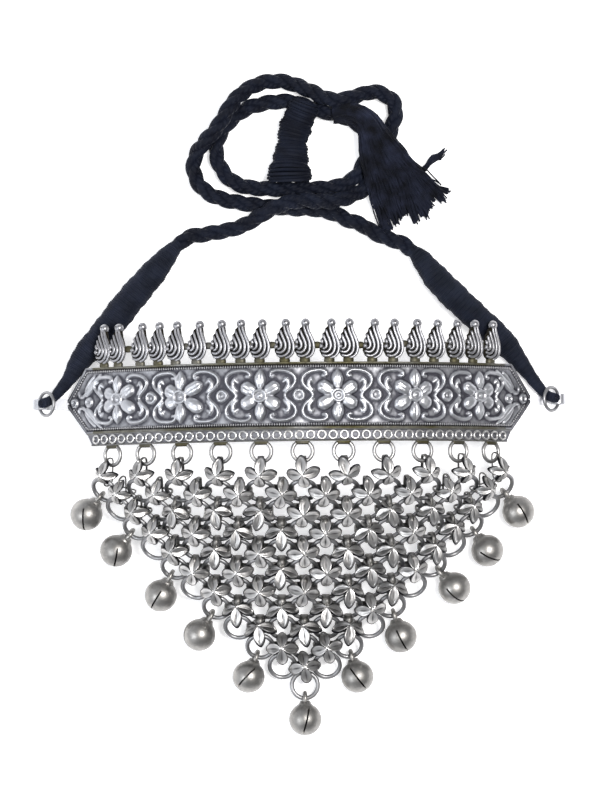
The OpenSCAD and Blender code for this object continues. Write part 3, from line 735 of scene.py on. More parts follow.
# %% Threads and the head
FRINGE_R = 0.17
tassel_head_route = [
    (9.4, 99.9, 3.2, 1.7), (12, 100, 4.2, 1.8), (14.8, 99.3, 5, 1.9), (17.2, 97.4, 5.4, 2),
    (18.8, 94.8, 5.2, 1.9),
]
spread = [
    np.linspace(0.5, 0.75, len(g)) if k < LOCKS else np.linspace(0.1, 0.3, len(g))
    for k, g in enumerate(guides)
]
tassel_host = line_host(
    "tassel", [g * MM for g in guides],
    spread=np.concatenate(spread) * MM,
    thick=np.concatenate([np.full(len(g), FRINGE_R * MM) for g in guides]),
)
tassel = apply_tree(
    tassel_host, fringe, Threads=24, Points=20, Wave=3.2 * MM, Seed=4, Material=fringe_cotton
)
tassel_head = winding("tassel_head", tassel_head_route, pitch=0.5, thread=0.32)
seat(map_strands(tassel, 4), "cotton", "cord_tassel")
seat(tassel_head, "cotton", "cord_tassel")

# %% [markdown]
# ## The cords' lengths
#
# A free cord could lie anywhere. The lengths of the two cords' paths are printed, in millimetres.

print("declared cords in mm:", [round(path_length(p) / MM) for p in (left_path, right_path)])

# %% [markdown]
# ## Old silver
#
# The metal is silver that has been darkened and then worn bright again on every high place. Two
# values that the shapes carry steer it. recess is 1 in a groove, where the dark skin
# survives and where painted shade stands for the shade that falls there, and 0 on a crest. solder
# is 1 where the yellowish solder shows at a joint. A noise keeps the line between dark and bright
# uneven, and the same share makes the dark places rougher.

# %% Silver materials
WEAR_SCALE, PATCH_SCALE, GRAIN_SCALE = 900.0, 110.0, 2400.0
BRASS, DARK_BRASS = (0.19, 0.175, 0.09), (0.035, 0.03, 0.015)


def silver(name, bright, dark, age=0.1, rough=0.26, patch=0.3, grain=0.00004):
    """Worn silver. age is how dark the plain places are, patch how uneven the dark skin is."""
    material, tree, shader, add = shader_tree(name)
    place = add("ShaderNodeTexCoord", {}, out="Object")
    recess = add("ShaderNodeAttribute", {}, out="Fac", attribute_name="recess")
    solder = add("ShaderNodeAttribute", {}, out="Fac", attribute_name="solder")
    fine = add(
        "ShaderNodeTexNoise", {"Vector": place, "Scale": WEAR_SCALE, "Detail": 4.0, "Roughness": 0.6}
    )
    broad = add("ShaderNodeTexNoise", {"Vector": place, "Scale": PATCH_SCALE, "Detail": 3.0})
    grainy = add("ShaderNodeTexNoise", {"Vector": place, "Scale": GRAIN_SCALE, "Detail": 2.0})
    both = add("ShaderNodeMath", {0: fine, 1: broad}, operation="ADD")
    uneven = add("ShaderNodeMath", {0: both, 1: patch, 2: age - patch}, operation="MULTIPLY_ADD")
    # Grooves are darkened here for their oxide, and also as painted shade for the shade that would fall in
    # them.
    share = add("ShaderNodeMath", {0: recess, 1: uneven}, operation="ADD", use_clamp=True)
    skin_and_shade = blend_colours(add, share, bright, dark)
    warm = add("ShaderNodeMath", {0: solder, 1: broad}, operation="MULTIPLY")
    warm = add("ShaderNodeMath", {0: warm, 1: 1.5}, operation="MULTIPLY", use_clamp=True)
    brass = blend_colours(add, share, BRASS, DARK_BRASS)
    colour = add("ShaderNodeMix", {"Factor": warm, 6: skin_and_shade, 7: brass}, out=2, data_type="RGBA")
    dull = add("ShaderNodeMath", {0: share, 1: 0.35, 2: rough}, operation="MULTIPLY_ADD")
    dull = add("ShaderNodeMath", {0: fine, 1: 0.12, 2: dull}, operation="MULTIPLY_ADD")
    bump = add("ShaderNodeBump", {"Strength": 0.6, "Distance": grain, "Height": grainy})
    tree.links.new(colour, shader.inputs["Base Color"])
    tree.links.new(dull, shader.inputs["Roughness"])
    tree.links.new(bump, shader.inputs["Normal"])
    shader.inputs["Metallic"].default_value = 1.0
    return material


plate_silver = silver("plate_silver", (0.62, 0.63, 0.66), (0.075, 0.075, 0.09), age=0.2)
crest_silver = silver("crest_silver", (0.44, 0.44, 0.46), (0.015, 0.015, 0.02), age=0.26)
link_silver = silver("link_silver", (0.71, 0.7, 0.69), (0.012, 0.012, 0.016), age=0.16, rough=0.18)
# Ring silver is darker than the caps' silver: painted shade for the rings under the caps.
ring_silver = silver("ring_silver", (0.45, 0.45, 0.46), (0.015, 0.015, 0.02), age=0.36)
bell_silver = silver("bell_silver", (0.37, 0.36, 0.345), (0.05, 0.05, 0.05), age=0.24, rough=0.3, patch=0.6)
print("silver materials:", [m.name for m in bpy.data.materials if "silver" in m.name])

# %% [markdown]
# ## The embossed plate
#
# The plate was struck in a die: six-petalled flowers with ringed bosses, four scrolls round each,
# ring bosses between, and leaves in the pointed ends. The CAD solid has those forms as plain
# ridges. Sculpting would suit them, but the relief follows rules, so it will be a height over the
# plate, worked out on a fine grid. First the arch itself: a place s along it, y up it and h off
# its face becomes a point, with the radius and the height of the CAD's arch.

# %% The arch
PLATE_R, WALL = 72.0, 0.8
COLLAR_Y, ARCH_DROP = 31.1, 45.2
HALF_H, STRIP_H = 7.85, 3.0
TIP_X = PLATE_R * math.sin(math.radians(50.5))
CORNER_X = PLATE_R * math.sin(math.radians(44.8))
STRIP_CORNER_X = CORNER_X - 1.3
TIP_RISE = -0.5
STRIP_LOW = -HALF_H - STRIP_H


def on_plate(s, y, h=0.0):
    """Points in metres: s along the arch from its crown, y up from its middle, h off its face."""
    s, y, h = np.broadcast_arrays(s, y, h)
    reach = PLATE_R + h
    return np.stack([
        reach * np.sin(s / PLATE_R), COLLAR_Y + y, reach * np.cos(s / PLATE_R) - ARCH_DROP
    ], axis=-1) * MM


def plate_edges(s):
    """The plate's lower and upper edge at s, which draw together beyond the corners."""
    x = np.abs(PLATE_R * np.sin(s / PLATE_R))
    share = np.clip((x - CORNER_X) / (TIP_X - CORNER_X), 0, 1)
    blunt = 0.35
    return (
        -HALF_H + share * (TIP_RISE - blunt + HALF_H),
        HALF_H + share * (TIP_RISE + blunt - HALF_H),
    )


crown = on_plate(0.0, 0.0)[2] / MM

# %% [markdown]
# ## Ridges, domes and rings
#
# Three small functions make every form of the die. A dome is the round section that a punch
# leaves. A ridge carries it along a path and thins it towards the tips, and a ringlet carries it
# round a circle. Each gives a height for every place of the grid at once.

# %% Ridges, domes and rings
def dome(distance, half_width):
    return np.sqrt(np.clip(1 - (distance / half_width) ** 2, 0, 1))


def ridge(a, b, path, half_width, height, first=0.5, last=0.5):
    """A rounded ridge along a path of (a, b) places. Its tips have these shares of its width."""
    path = smooth_path([(x, y, 0) for x, y in path], 0.35)[:, :2]
    best = np.zeros_like(a)
    for i in range(len(path) - 1):
        (x, y), way = path[i], path[i + 1] - path[i]
        t = np.clip(((a - x) * way[0] + (b - y) * way[1]) / (way @ way), 0, 1)
        share = (i + t) / (len(path) - 1)
        tips = first + (last - first) * share
        wide = half_width * (tips + (1 - tips) * np.sin(np.pi * share) ** 0.6)
        gap = np.hypot(a - x - t * way[0], b - y - t * way[1])
        best = np.maximum(best, height * dome(gap, wide) * (wide / half_width) ** 0.5)
    return best


def ringlet(a, b, radius, half_width, height, floor_height=0.0):
    """A raised ring round the origin, with a floor inside it."""
    r = np.hypot(a, b)
    return np.maximum(height * dome(r - radius, half_width), floor_height * (r < radius))


print("a dome's height halfway out:", round(float(dome(0.5, 1.0)), 2))

# %% [markdown]
# ## The die's forms
#
# The die's designer drew one flower with a quarter of its scrolls, and repeated it. The script
# does the same: one scroll, mirrored by taking the distance from the flower's axes, and one petal,
# turned six times. In places the highest form wins, as a punch leaves it. The flowers sit a little
# off the middle of their scrolls, each by its own amount.

# %% The die's forms
flower_at = [-45.6, -27.6, -9.1, 9.1, 27.6, 45.6]
boss_at = [-60.4, -55.4, -36.6, -18.4, 0, 18.4, 36.6, 55.4, 60.4]
flower_shift = [-0.7, -1.2, -0.1, 0.1, 0.5, 0.4]
scroll = [
    (5.8, 0.12), (6.4, 0.9), (7.3, 1.75), (8.05, 2.7), (8.3, 3.8), (7.8, 4.9), (6.6, 5.6), (5.2, 5.85),
    (3.8, 5.85), (2.8, 5.5), (2.4, 4.9), (2.75, 4.4), (3.3, 4.55),
]
scroll_leaf = [(5.5, 0.95), (6.2, 1.6), (6.7, 2.4), (6.7, 3.2), (6.2, 3.8)]
scroll_hook = [(6.7, 3.1), (6.0, 3.5), (5.5, 3.1)]
tip_leaves = [
    [(51.4, 6.4), (53.2, 5.0), (54.7, 3.6), (56.2, 2.2), (57.6, 1.35), (58.7, 1.5), (59.1, 2.4)],
    [(52.2, 4.6), (53.6, 3.6), (54.8, 2.4), (56.2, 1.4)],
    [(53.4, 6.0), (54.8, 4.8), (55.9, 3.6), (56.8, 2.6)],
]
SIDE_PETAL = (0.9, 5.3, 1.62, 3.0)
END_PETAL = (0.9, 6.1, 1.45, 1.9)
DEEP_CREASE, FAINT_CREASE = 0.3, 0.06
FLOWER_BOSS_R = 1.42
print("flowers and ring bosses on the die:", len(flower_at), len(boss_at))

# %% [markdown]
# ## One flower of the die
#
# A petal is a pillow whose width grows and shrinks along it, with a crease cut down its middle.
# The boss is laid over the petals, and the scrolls, which share one quarter by mirroring, come
# last. The petals on one side are shorter where the flower sits off the middle.

# %% One flower of the die
def petal(a, b, angle, stretch, shape, crease):
    """A pillowed petal that leaves the middle at this angle. shape: start, end, half width, bluntness."""
    start, end, half, blunt = shape
    along = (a * math.cos(angle) + b * math.sin(angle)) / stretch
    across = b * math.cos(angle) - a * math.sin(angle)
    q = np.clip((along - start) / (end - start), 1e-6, 1)
    swell = np.clip(1 - np.abs(2 * q**1.15 - 1) ** blunt, 0, 1)
    wide = half * np.maximum(swell, 1e-3) ** (1.1 / blunt + 0.25)
    body = 1.1 * dome(across, wide) ** 0.85 * (0.4 + 0.6 * swell)
    body = body - crease * np.exp(-((across / 0.18) ** 2)) * swell
    return np.where((along > start) & (along < end), body, 0)


def flower_and_scrolls(a, b, shift):
    """One flower of the die, which may sit off the middle of the four scrolls round it."""
    height = np.zeros_like(a)
    for j in range(6):
        upright = j % 3 == 0
        stretch = 1.0 if upright else 1 - (0.17 if j < 3 else -0.15) * shift
        crease = DEEP_CREASE if j in (0, 1, 3, 5) else FAINT_CREASE
        shape = END_PETAL if upright else SIDE_PETAL
        angle = math.radians(90 - 60 * j)
        height = np.maximum(height, petal(a - shift, b, angle, stretch, shape, crease))
    boss = ringlet(a - shift, b, FLOWER_BOSS_R, 0.3, 1.2, 0.66)
    boss = np.maximum(boss, 0.95 * dome(np.hypot(a - shift, b), 0.75))
    height = np.where(np.hypot(a - shift, b) < 1.5, boss, np.maximum(height, boss))
    a, b = np.abs(a), np.abs(b)
    height = np.maximum(height, ridge(a, b, scroll, 0.36, 0.7, 0.7, 1.0))
    height = np.maximum(height, ridge(a, b, scroll_leaf, 0.5, 0.55, 0.3, 1.0))
    return np.maximum(height, ridge(a, b, scroll_hook, 0.26, 0.42, 0.9, 0.5))


middle = np.zeros((1, 1))
print("height of a flower's middle in mm:", round(float(flower_and_scrolls(middle, middle, 0.0).max()), 2))

# %% [markdown]
# ## Uneven metal
#
# Struck and worn metal is never quite even. A coarse grid of random values, stretched to a fine
# one, makes slow waves, and a blur rounds the valleys between the forms as the metal does.

# %% Uneven metal
def wavy(shape, cells):
    """Smooth noise from -1 to 1 over a grid, from a coarse grid of random values."""
    coarse = rng.uniform(-1, 1, (cells[0] + 1, cells[1] + 1))
    rows = np.linspace(0, cells[0], shape[0])
    columns = np.linspace(0, cells[1], shape[1])
    tall = np.stack([np.interp(rows, np.arange(cells[0] + 1), c) for c in coarse.T], axis=1)
    return np.stack([np.interp(columns, np.arange(cells[1] + 1), r) for r in tall])


def blurred(values, cells):
    weights = np.exp(-0.5 * (np.arange(-3 * cells, 3 * cells + 1) / cells) ** 2)
    weights /= weights.sum()
    for _ in range(2):
        wide = np.pad(values, ((3 * cells, 3 * cells), (0, 0)), mode="edge")
        values = sum(w * wide[k:k + len(values)] for k, w in enumerate(weights)).T
    return values


print("a blurred spike keeps its sum:", round(float(blurred(np.pad([[1.0]], 9), 1).sum()), 3))

# %% [markdown]
# ## Work out the relief
#
# Now the forms come together over the whole plate. They fade out near the edges, where a flat
# rail and a shallow gutter run. The plate's two edges draw together in the pointed ends, so each
# column of the grid runs from its own lower edge to its own upper edge.

# %% Work out the relief
WANDER = 0.14
END_SIZE = 0.94
RAIL_H, RAIL_W, GUTTER_H, GUTTER_IN = 0.34, 0.62, 0.12, 0.95


def relief(s, y):
    """The height of the die's forms over the plate, in millimetres."""
    a0 = s + WANDER * wavy(s.shape, (40, 6))
    b0 = y + WANDER * wavy(s.shape, (40, 6))
    nearest = np.argmin(np.abs(a0[..., None] - np.array(flower_at)), axis=-1)
    size = np.where((nearest == 0) | (nearest == len(flower_at) - 1), END_SIZE, 1.0)
    height = flower_and_scrolls(
        (a0 - np.array(flower_at)[nearest]) / size, b0 / size, np.array(flower_shift)[nearest]
    ) * size
    for at in boss_at:
        outer = abs(at) > 50
        a, b = a0 - at, b0 + (0.4 if outer else 0)
        around = ringlet(a, b, 0.85 if outer else 1.12, 0.34, 0.7, 0.16)
        around = np.maximum(around, 0.36 * dome(np.hypot(a, b), 0.45))
        height = np.maximum(height, around)
    for path in tip_leaves:
        height = np.maximum(height, ridge(np.abs(a0), np.abs(b0 + 0.3), path, 0.46, 0.55, 0.4, 0.5))
    return height


def edge_band(s, y):
    """The raised edge of the plate: a flat rail, and a shallow gutter inside it."""
    low, high = plate_edges(s)
    slope = np.where(np.abs(PLATE_R * np.sin(s / PLATE_R)) > CORNER_X, 0.62, 1.0)
    inside = np.minimum(high - y, y - low) * slope
    rail = RAIL_H * np.clip((RAIL_W - inside) / 0.14, 0, 1)
    return rail - GUTTER_H * np.exp(-(((inside - GUTTER_IN) / 0.22) ** 2)), inside


COLUMNS, ROWS = 840, 102
tip_s = PLATE_R * math.asin(TIP_X / PLATE_R)
grid_s = np.linspace(-tip_s, tip_s, COLUMNS)[:, None] * np.ones(ROWS)
grid_low, grid_high = plate_edges(grid_s)
grid_y = grid_low + (grid_high - grid_low) * np.linspace(0, 1, ROWS)
grid_edge, grid_inside = edge_band(grid_s, grid_y)
fade = np.clip((grid_inside - 0.7) / 0.5, 0, 1)
grid_h = blurred(relief(grid_s, grid_y) * fade + grid_edge, 1)
grid_h += 0.025 * wavy(grid_h.shape, (300, 40)) + 0.05 * wavy(grid_h.shape, (60, 10))
print("relief grid:", grid_h.shape, "highest in mm:", round(float(grid_h.max()), 2))

# %% [markdown]
# ## A closed shell
#
# The grid of heights is only a skin. A Solidify modifier could thicken it, but it would double
# all its faces for an underside that is plain. So the skin gets two rows of points under its long
# edges, and a few long faces close it.

# %% A closed shell
def shell(name, outer, under):
    """A closed shell from a grid of outer points and the points under its two long edges."""
    columns, rows = outer.shape[:2]
    points = np.concatenate([outer.reshape(-1, 3), under.reshape(-1, 3)])
    first = columns * rows
    at = np.arange(first).reshape(columns, rows)
    below = first + np.arange(columns * 2).reshape(columns, 2)
    faces = [
        (at[i, j], at[i + 1, j], at[i + 1, j + 1], at[i, j + 1])
        for i in range(columns - 1) for j in range(rows - 1)
    ]
    for i in range(columns - 1):
        faces.append((below[i, 0], below[i, 1], below[i + 1, 1], below[i + 1, 0]))
        faces.append((at[i + 1, 0], at[i, 0], below[i, 0], below[i + 1, 0]))
        faces.append((at[i, -1], at[i + 1, -1], below[i + 1, 1], below[i, 1]))
    faces.append((*at[0, :], below[0, 1], below[0, 0]))
    faces.append((*at[-1, ::-1], below[-1, 0], below[-1, 1]))
    return new_object(name, points, faces=[tuple(int(v) for v in f) for f in faces])


def plate_values(made, recess, solder):
    """Oxide with painted shade, and solder, for the grid's points, and plain values for the points under
    it.
    """
    extra = len(made.data.vertices) - recess.size
    put_values(
        made, recess=np.concatenate([recess.ravel(), np.full(extra, 0.35)]),
        solder=np.concatenate([solder.ravel(), np.zeros(extra)]),
    )
    smooth_all(made.data)


print("wall of the shells in mm:", WALL)

# %% [markdown]
# ## Build the plate
#
# The dark skin survives in the deep places, and painted shade darkens the crevices round each form
# too, as dark outlines. How deep a place lies is its height against the blurred heights round it,
# so the same relief also gives the oxide and the painted shade. The rails were filed flat and never
# polished: they stay dark, and yellow with solder except at the pointed ends.

# %% Build the plate
FIELD_SKIN, DEEP_OXIDE_AND_SHADE, RAIL_SKIN = 0.4, 3.2, 0.7
SOLDER_TO = 54
outer_points = on_plate(grid_s, grid_y, grid_h)
under_points = on_plate(grid_s[:, [0, -1]], grid_y[:, [0, -1]], -WALL)
plate = shell("plate", outer_points, under_points)
# The crevices round the forms are darkened for oxide and as painted shade, which draws dark outlines.
deep = blurred(grid_h, 4) - grid_h
field = np.clip(FIELD_SKIN - grid_h * 1.4, 0, FIELD_SKIN)
rail_skin = RAIL_SKIN * np.clip((0.8 - grid_inside) / 0.3, 0, 1)
grid_oxide_and_shade = np.clip(field + deep * DEEP_OXIDE_AND_SHADE + rail_skin, 0, 1)
grid_solder = np.clip(1.4 - grid_inside, 0, 1) * (np.abs(grid_s) < SOLDER_TO)
plate_values(plate, grid_oxide_and_shade, grid_solder)
plate.data.materials.append(plate_silver)
seat(plate, "silver", "collar")

# %% [markdown]
# ## The copying tree
#
# From here on, most pieces are one small shape that is repeated: rings, beads, leaves, loops and
# flower links. A node tree copies a shape to marked places, and every place carries its own turn
# and stretch. The places come as matrices, which the next function takes apart for the tree, and
# plate_place() gives the matrix for a place on the arch.

# %% The copying tree
def copies_tree():
    make = TreeMaker("copies_at_places", {
        "Shape": ("Object", None), "Material": ("Material", None),
    })
    shape = make.add("GeometryNodeObjectInfo", {"Object": make.given["Shape"]}, out="Geometry")
    points = make.add("GeometryNodeMeshToPoints", {"Mesh": make.given["Geometry"]})
    turn = make.add("FunctionNodeEulerToRotation", {0: make.value("turn", "FLOAT_VECTOR")})
    placed = make.add("GeometryNodeInstanceOnPoints", {
        "Points": points, "Instance": shape, "Rotation": turn,
        "Scale": make.value("stretch", "FLOAT_VECTOR"),
    })
    return make.finish(placed)


copies = copies_tree()


def copy_shape(name, shape, places, material):
    """Sets the shape at each (matrix) place. The shape itself is deleted afterwards."""
    parts = [m.decompose() for m in places]
    host = new_object(name, [p[0] for p in parts])
    put_values(
        host, turn=[tuple(p[1].to_euler()) for p in parts], stretch=[tuple(p[2]) for p in parts]
    )
    made = apply_tree(host, copies, Shape=shape, Material=material)
    bpy.data.objects.remove(shape)
    return made


def plate_place(s, y, h=0.0, turn=0.0, size=1.0):
    """A matrix that stands a shape on the plate, its z off the face and its y up the plate."""
    at = Matrix.Translation(Vector(on_plate(s, y, h)))
    lean = Matrix.Rotation(s / PLATE_R, 4, "Y") @ Matrix.Rotation(turn, 4, "Z")
    return at @ lean @ Matrix.Scale(size, 4)


print("node tree:", copies.name, "nodes:", len(copies.nodes))

# %% [markdown]
# ## Wires
#
# A wire is a round section carried along a path, open or closed. outward() merges the seams and
# turns the faces outwards, which a closed metal shape needs to be shaded rightly.

# %% Wires
def tube_shape(name, path, radii, sides=8, closed=False):
    """A tube along a path in metres. A closed one joins up, an open one has its ends filled."""
    path = np.array(path, float)
    count = len(path)
    points = []
    for i in range(count):
        a = path[(i - 1) % count if closed else max(i - 1, 0)]
        b = path[(i + 1) % count if closed else min(i + 1, count - 1)]
        way = Vector(b - a).normalized()
        side = way.cross(Vector((0, 0, 1)))
        side = side.normalized() if side.length > 1e-6 else Vector((1, 0, 0))
        up = side.cross(way)
        for j in range(sides):
            q = 2 * math.pi * j / sides
            spoke = side * math.cos(q) + up * math.sin(q)
            points.append(Vector(path[i]) + float(radii[i]) * spoke)
    faces = []
    for i in range(count if closed else count - 1):
        for j in range(sides):
            k, n = (j + 1) % sides, (i + 1) % count
            faces.append((i * sides + j, i * sides + k, n * sides + k, n * sides + j))
    if not closed:
        faces += [tuple(range(sides))[::-1], tuple((count - 1) * sides + j for j in range(sides))]
    return new_object(name, points, faces=faces)


def outward(made):
    """Turns every face of a closed shape outwards."""
    shape = bmesh.new()
    shape.from_mesh(made.data)
    bmesh.ops.remove_doubles(shape, verts=shape.verts, dist=1e-6)
    bmesh.ops.recalc_face_normals(shape, faces=shape.faces)
    shape.to_mesh(made.data)
    shape.free()
    return made


def wire_ring(name, radius, wire, around=40, sides=10):
    turns = np.linspace(0, 2 * math.pi, around, endpoint=False)
    path = np.stack([np.cos(turns), np.sin(turns), np.zeros(around)], axis=1) * radius * MM
    return outward(tube_shape(name, path, [wire / 2 * MM] * around, sides, closed=True))


print("a closed wire is", wire_ring.__name__, "and an open one is", tube_shape.__name__)

# %% [markdown]
# ## Joined shapes
#
# A small part such as a finial is soldered from several shapes. joined() puts them into one mesh
# and keeps their oxide-and-shade and solder values. Blender's own join would need a selection, and
# this also works without a window.

# %% Joined shapes
def joined(name, parts):
    """Several shapes as one object. Values that only some have are kept, 0 elsewhere."""
    shape = bmesh.new()
    layers = {n: shape.verts.layers.float.new(n) for n in ("recess", "solder")}
    for part in parts:
        have = {n: part.data.attributes.get(n) for n in layers}
        start = len(shape.verts)
        shape.from_mesh(part.data)
        shape.verts.ensure_lookup_table()
        for n, column in have.items():
            for i, v in enumerate(shape.verts[start:]):
                v[layers[n]] = column.data[i].value if column else 0.0
        bpy.data.objects.remove(part)
    made = new_object(name, [])
    shape.to_mesh(made.data)
    shape.free()
    return made


print("values that a joined shape keeps:", ["recess", "solder"])

# %% [markdown]
# ## The strip of circles
#
# A narrow strip is soldered under the plate and stamped with small rings from end to end. The
# strip is a shell as the plate is, with a rail along each edge. A grid would blur such small
# rings, so each one is a real ring, set in a row by the copying tree.

# %% Strip and its circles
strip_columns, strip_rows = 420, 20
STRIP_RAIL_H, STRIP_RAIL_W = 0.32, 0.36
FLOOR_SKIN, STRIP_RAIL_SKIN = 0.6, 0.45
CIRCLE_R, CIRCLE_WIRE, CIRCLE_LIFT = 0.92, 0.52, 0.18
edge_s = PLATE_R * math.asin(CORNER_X / PLATE_R)
low_s = PLATE_R * math.asin(STRIP_CORNER_X / PLATE_R)
down = np.linspace(0, 1, strip_rows)
strip_y = np.tile(STRIP_LOW + STRIP_H * down, (strip_columns, 1))
strip_s = np.linspace(-1, 1, strip_columns)[:, None] * (low_s + (edge_s - low_s) * down)
inside = np.minimum(strip_y - STRIP_LOW, -HALF_H - strip_y)
strip_h = STRIP_RAIL_H * np.clip((STRIP_RAIL_W - inside) / 0.12, 0, 1)
strip_h += 0.02 * wavy(strip_s.shape, (150, 4))
strip = shell(
    "strip", on_plate(strip_s, strip_y, strip_h),
    on_plate(strip_s[:, [0, -1]], strip_y[:, [0, -1]], -WALL),
)
strip_solder = np.clip(0.5 - inside, 0, 0.5) * 1.6
plate_values(strip, np.where(inside > 0.4, FLOOR_SKIN, STRIP_RAIL_SKIN), strip_solder)
strip.data.materials.append(plate_silver)
seat(strip, "silver", "collar")

circle_step, circle_half = 2.65, 20
circle = wire_ring("circle", CIRCLE_R, CIRCLE_WIRE, around=28, sides=8)
circle_places = [
    plate_place(k * circle_step, -HALF_H - STRIP_H / 2, CIRCLE_LIFT)
    for k in range(-circle_half, circle_half + 1)
]
seat(copy_shape("strip_circles", circle, circle_places, link_silver), "silver", "collar")

# %% [markdown]
# ## Milled lines
#
# A fine milled line runs inside each edge of the plate, and the pointed ends have coarser beads.
# On the die they were cut one stroke at a time. Here each stroke is one small bead, stretched
# across the line, and the copying tree sets a few hundred of them.

# %% Milled lines
def ball_shape(name, around=10, along=6, radius=1.0):
    shape = bmesh.new()
    bmesh.ops.create_uvsphere(shape, u_segments=around, v_segments=along, radius=radius * MM)
    mesh = bpy.data.meshes.new(name)
    shape.to_mesh(mesh)
    shape.free()
    made = bpy.data.objects.new(name, mesh)
    bpy.context.scene.collection.objects.link(made)
    return made


def stretched(place, x, y, z):
    return place @ Matrix.Diagonal((x, y, z, 1))


MILL_STEP, MILL_IN = 0.58, 1.02
MILL_BEAD, END_BEAD, END_BEADS = (0.19, 0.34, 0.2), (0.3, 0.34, 0.26), 11
tooth_places = []
for side_y in (-1, 1):
    for s in np.arange(-edge_s + 0.6, edge_s - 0.6, MILL_STEP):
        place = plate_place(s, side_y * (HALF_H - MILL_IN), 0.02)
        tooth_places.append(stretched(place, *MILL_BEAD))
for side_x in (-1, 1):
    for side_y in (-1, 1):
        for share in np.linspace(0.02, 0.78, END_BEADS):
            s = side_x * (edge_s - 0.3 + share * (tip_s - edge_s - 0.9))
            low, high = plate_edges(np.array(s))
            y = float(high) - 1.25 if side_y > 0 else float(low) + 1.25
            tooth_places.append(stretched(plate_place(s, y, 0.03), *END_BEAD))
teeth = copy_shape("milled_lines", ball_shape("tooth"), tooth_places, crest_silver)
seat(teeth, "silver", "collar")

# %% [markdown]
# ## The comb of finials
#
# Twenty small leaves stand in a row on the upper edge, all facing the same way. Each was pierced
# from sheet, given curled wires and a ball, and soldered on by its foot. The outline and the
# wires' paths are short lists of places, in millimetres from the foot. An outline traced in an
# editor would do as well, but these numbers stay readable beside the CAD's.

# %% The leaf's outline and wires
leaf_edge = [
    (-0.5, 0.2), (-1.5, 0.9), (-2.05, 2.1), (-2, 3.2), (-1.65, 3.8), (-1.75, 4.8), (-1.25, 5.3),
    (-1.35, 6.1), (-0.8, 6.6), (-0.6, 7.4), (0, 7.9), (0.1, 8.8), (1.5, 8.8), (1.65, 7.7), (1.8, 6.4),
    (2.2, 5.2), (2.45, 3.8), (2.35, 2.4), (1.8, 1.1), (0.7, 0.2),
]
leaf_wires = [
    [(1.15, 8.3), (1.4, 6.8), (2.0, 5.2), (2.45, 3.6), (2.35, 2.1), (1.65, 0.9), (0.4, 0.35)],
    [(0.4, 8.2), (0.6, 6.9), (1.15, 5.4), (1.55, 3.7), (1.35, 2.1), (0.6, 1.2), (-0.5, 0.85), (-1.5, 1.2)],
    [(-0.5, 7.1), (-0.15, 5.9), (0.35, 4.6), (0.6, 3.3), (0.1, 2.15), (-0.8, 1.75), (-1.75, 2.1)],
    [(-1.15, 6.0), (-0.85, 5.0), (-0.45, 4.0), (-0.45, 3.2), (-0.8, 2.7), (-1.4, 2.6)],
    [(-1.65, 4.9), (-1.45, 4.3), (-1.35, 3.7)],
]
WIRE_R, WIRE_LIFT = 0.4, 0.12
LEAF_LOW, LEAF_TOP = -0.8, -0.05
print("curled wires on a leaf:", len(leaf_wires))

# %% [markdown]
# ## Slabs and balls
#
# Flat sheet parts are slabs, an outline with a thickness, and solder and grains are balls, round
# or flattened. marked() gives a whole shape one value of oxide and painted shade and one solder
# value, so that a joined shape can be dark in one part and brassy in another.

# %% Slabs and balls
def slab(name, outline, low, high):
    """An outline of (x, y) places in millimetres, as thick as from low to high."""
    n = len(outline)
    points = [(x * MM, y * MM, z * MM) for z in (low, high) for x, y in outline]
    faces = [tuple(range(n)), tuple(range(n, 2 * n))]
    faces += [(i, (i + 1) % n, n + (i + 1) % n, n + i) for i in range(n)]
    return outward(new_object(name, points, faces=faces))


def marked(made, recess=0.0, solder=0.0):
    count = len(made.data.vertices)
    return put_values(made, recess=np.full(count, recess), solder=np.full(count, solder))


def moved_ball(x, y, z, radius, recess=0.0, solder=0.0, flat=1.0):
    made = ball_shape("ball", 16, 9)
    made.data.transform(
        Matrix.Translation(Vector((x, y, z)) * MM) @ Matrix.Diagonal((radius, radius, radius * flat, 1))
    )
    return marked(made, recess, solder)


print("helpers for flat and round parts:", slab.__name__, moved_ball.__name__)

# %% [markdown]
# ## One finial
#
# The leaf is a brassy plate with bright wires on it, thinner towards their ends. Between the wires
# the plate is dark, for its oxide and as painted shade in the grooves. The ball at the tip has a
# dark prick, a small one closes the lowest curl, and a blob of solder holds the foot. It could all
# be sculpted as one surface, but wires soldered on a plate look like this.

# %% One finial
def finial_shape():
    # The leaf plate is darkened for oxide and as painted shade between the wires, and tinted with solder.
    parts = [marked(slab("leaf", leaf_edge, LEAF_LOW, LEAF_TOP), 0.85, 0.7)]
    for path in leaf_wires:
        line = smooth_path([(x, y, WIRE_LIFT) for x, y in path], 0.4)
        share = np.linspace(0, 1, len(line))
        girth = WIRE_R * (0.6 + 0.4 * np.sin(np.pi * share) ** 0.5)
        parts.append(marked(outward(tube_shape("wire", line * MM, girth * MM, 8))))
    tip_ball = moved_ball(0.85, 8.7, -0.4, 1.08)
    tip_prick = moved_ball(0.7, 8.95, 0.62, 0.17, recess=1.0)
    curl_ball = moved_ball(-1.65, 3.2, 0.08, 0.55)
    foot_solder = moved_ball(0.2, -0.1, -0.5, 1.3, recess=0.4, solder=1.0, flat=0.7)
    made = joined("finial", parts + [tip_ball, tip_prick, curl_ball, foot_solder])
    smooth_all(made.data)
    return made


finial = finial_shape()
print("faces of one finial:", len(finial.data.polygons))

# %% [markdown]
# ## Setting the comb
#
# The finials were soldered on by eye, so they stand at uneven distances and lean a little, and
# near ones are joined by a blob of solder. Their places along the arch are the CAD's.

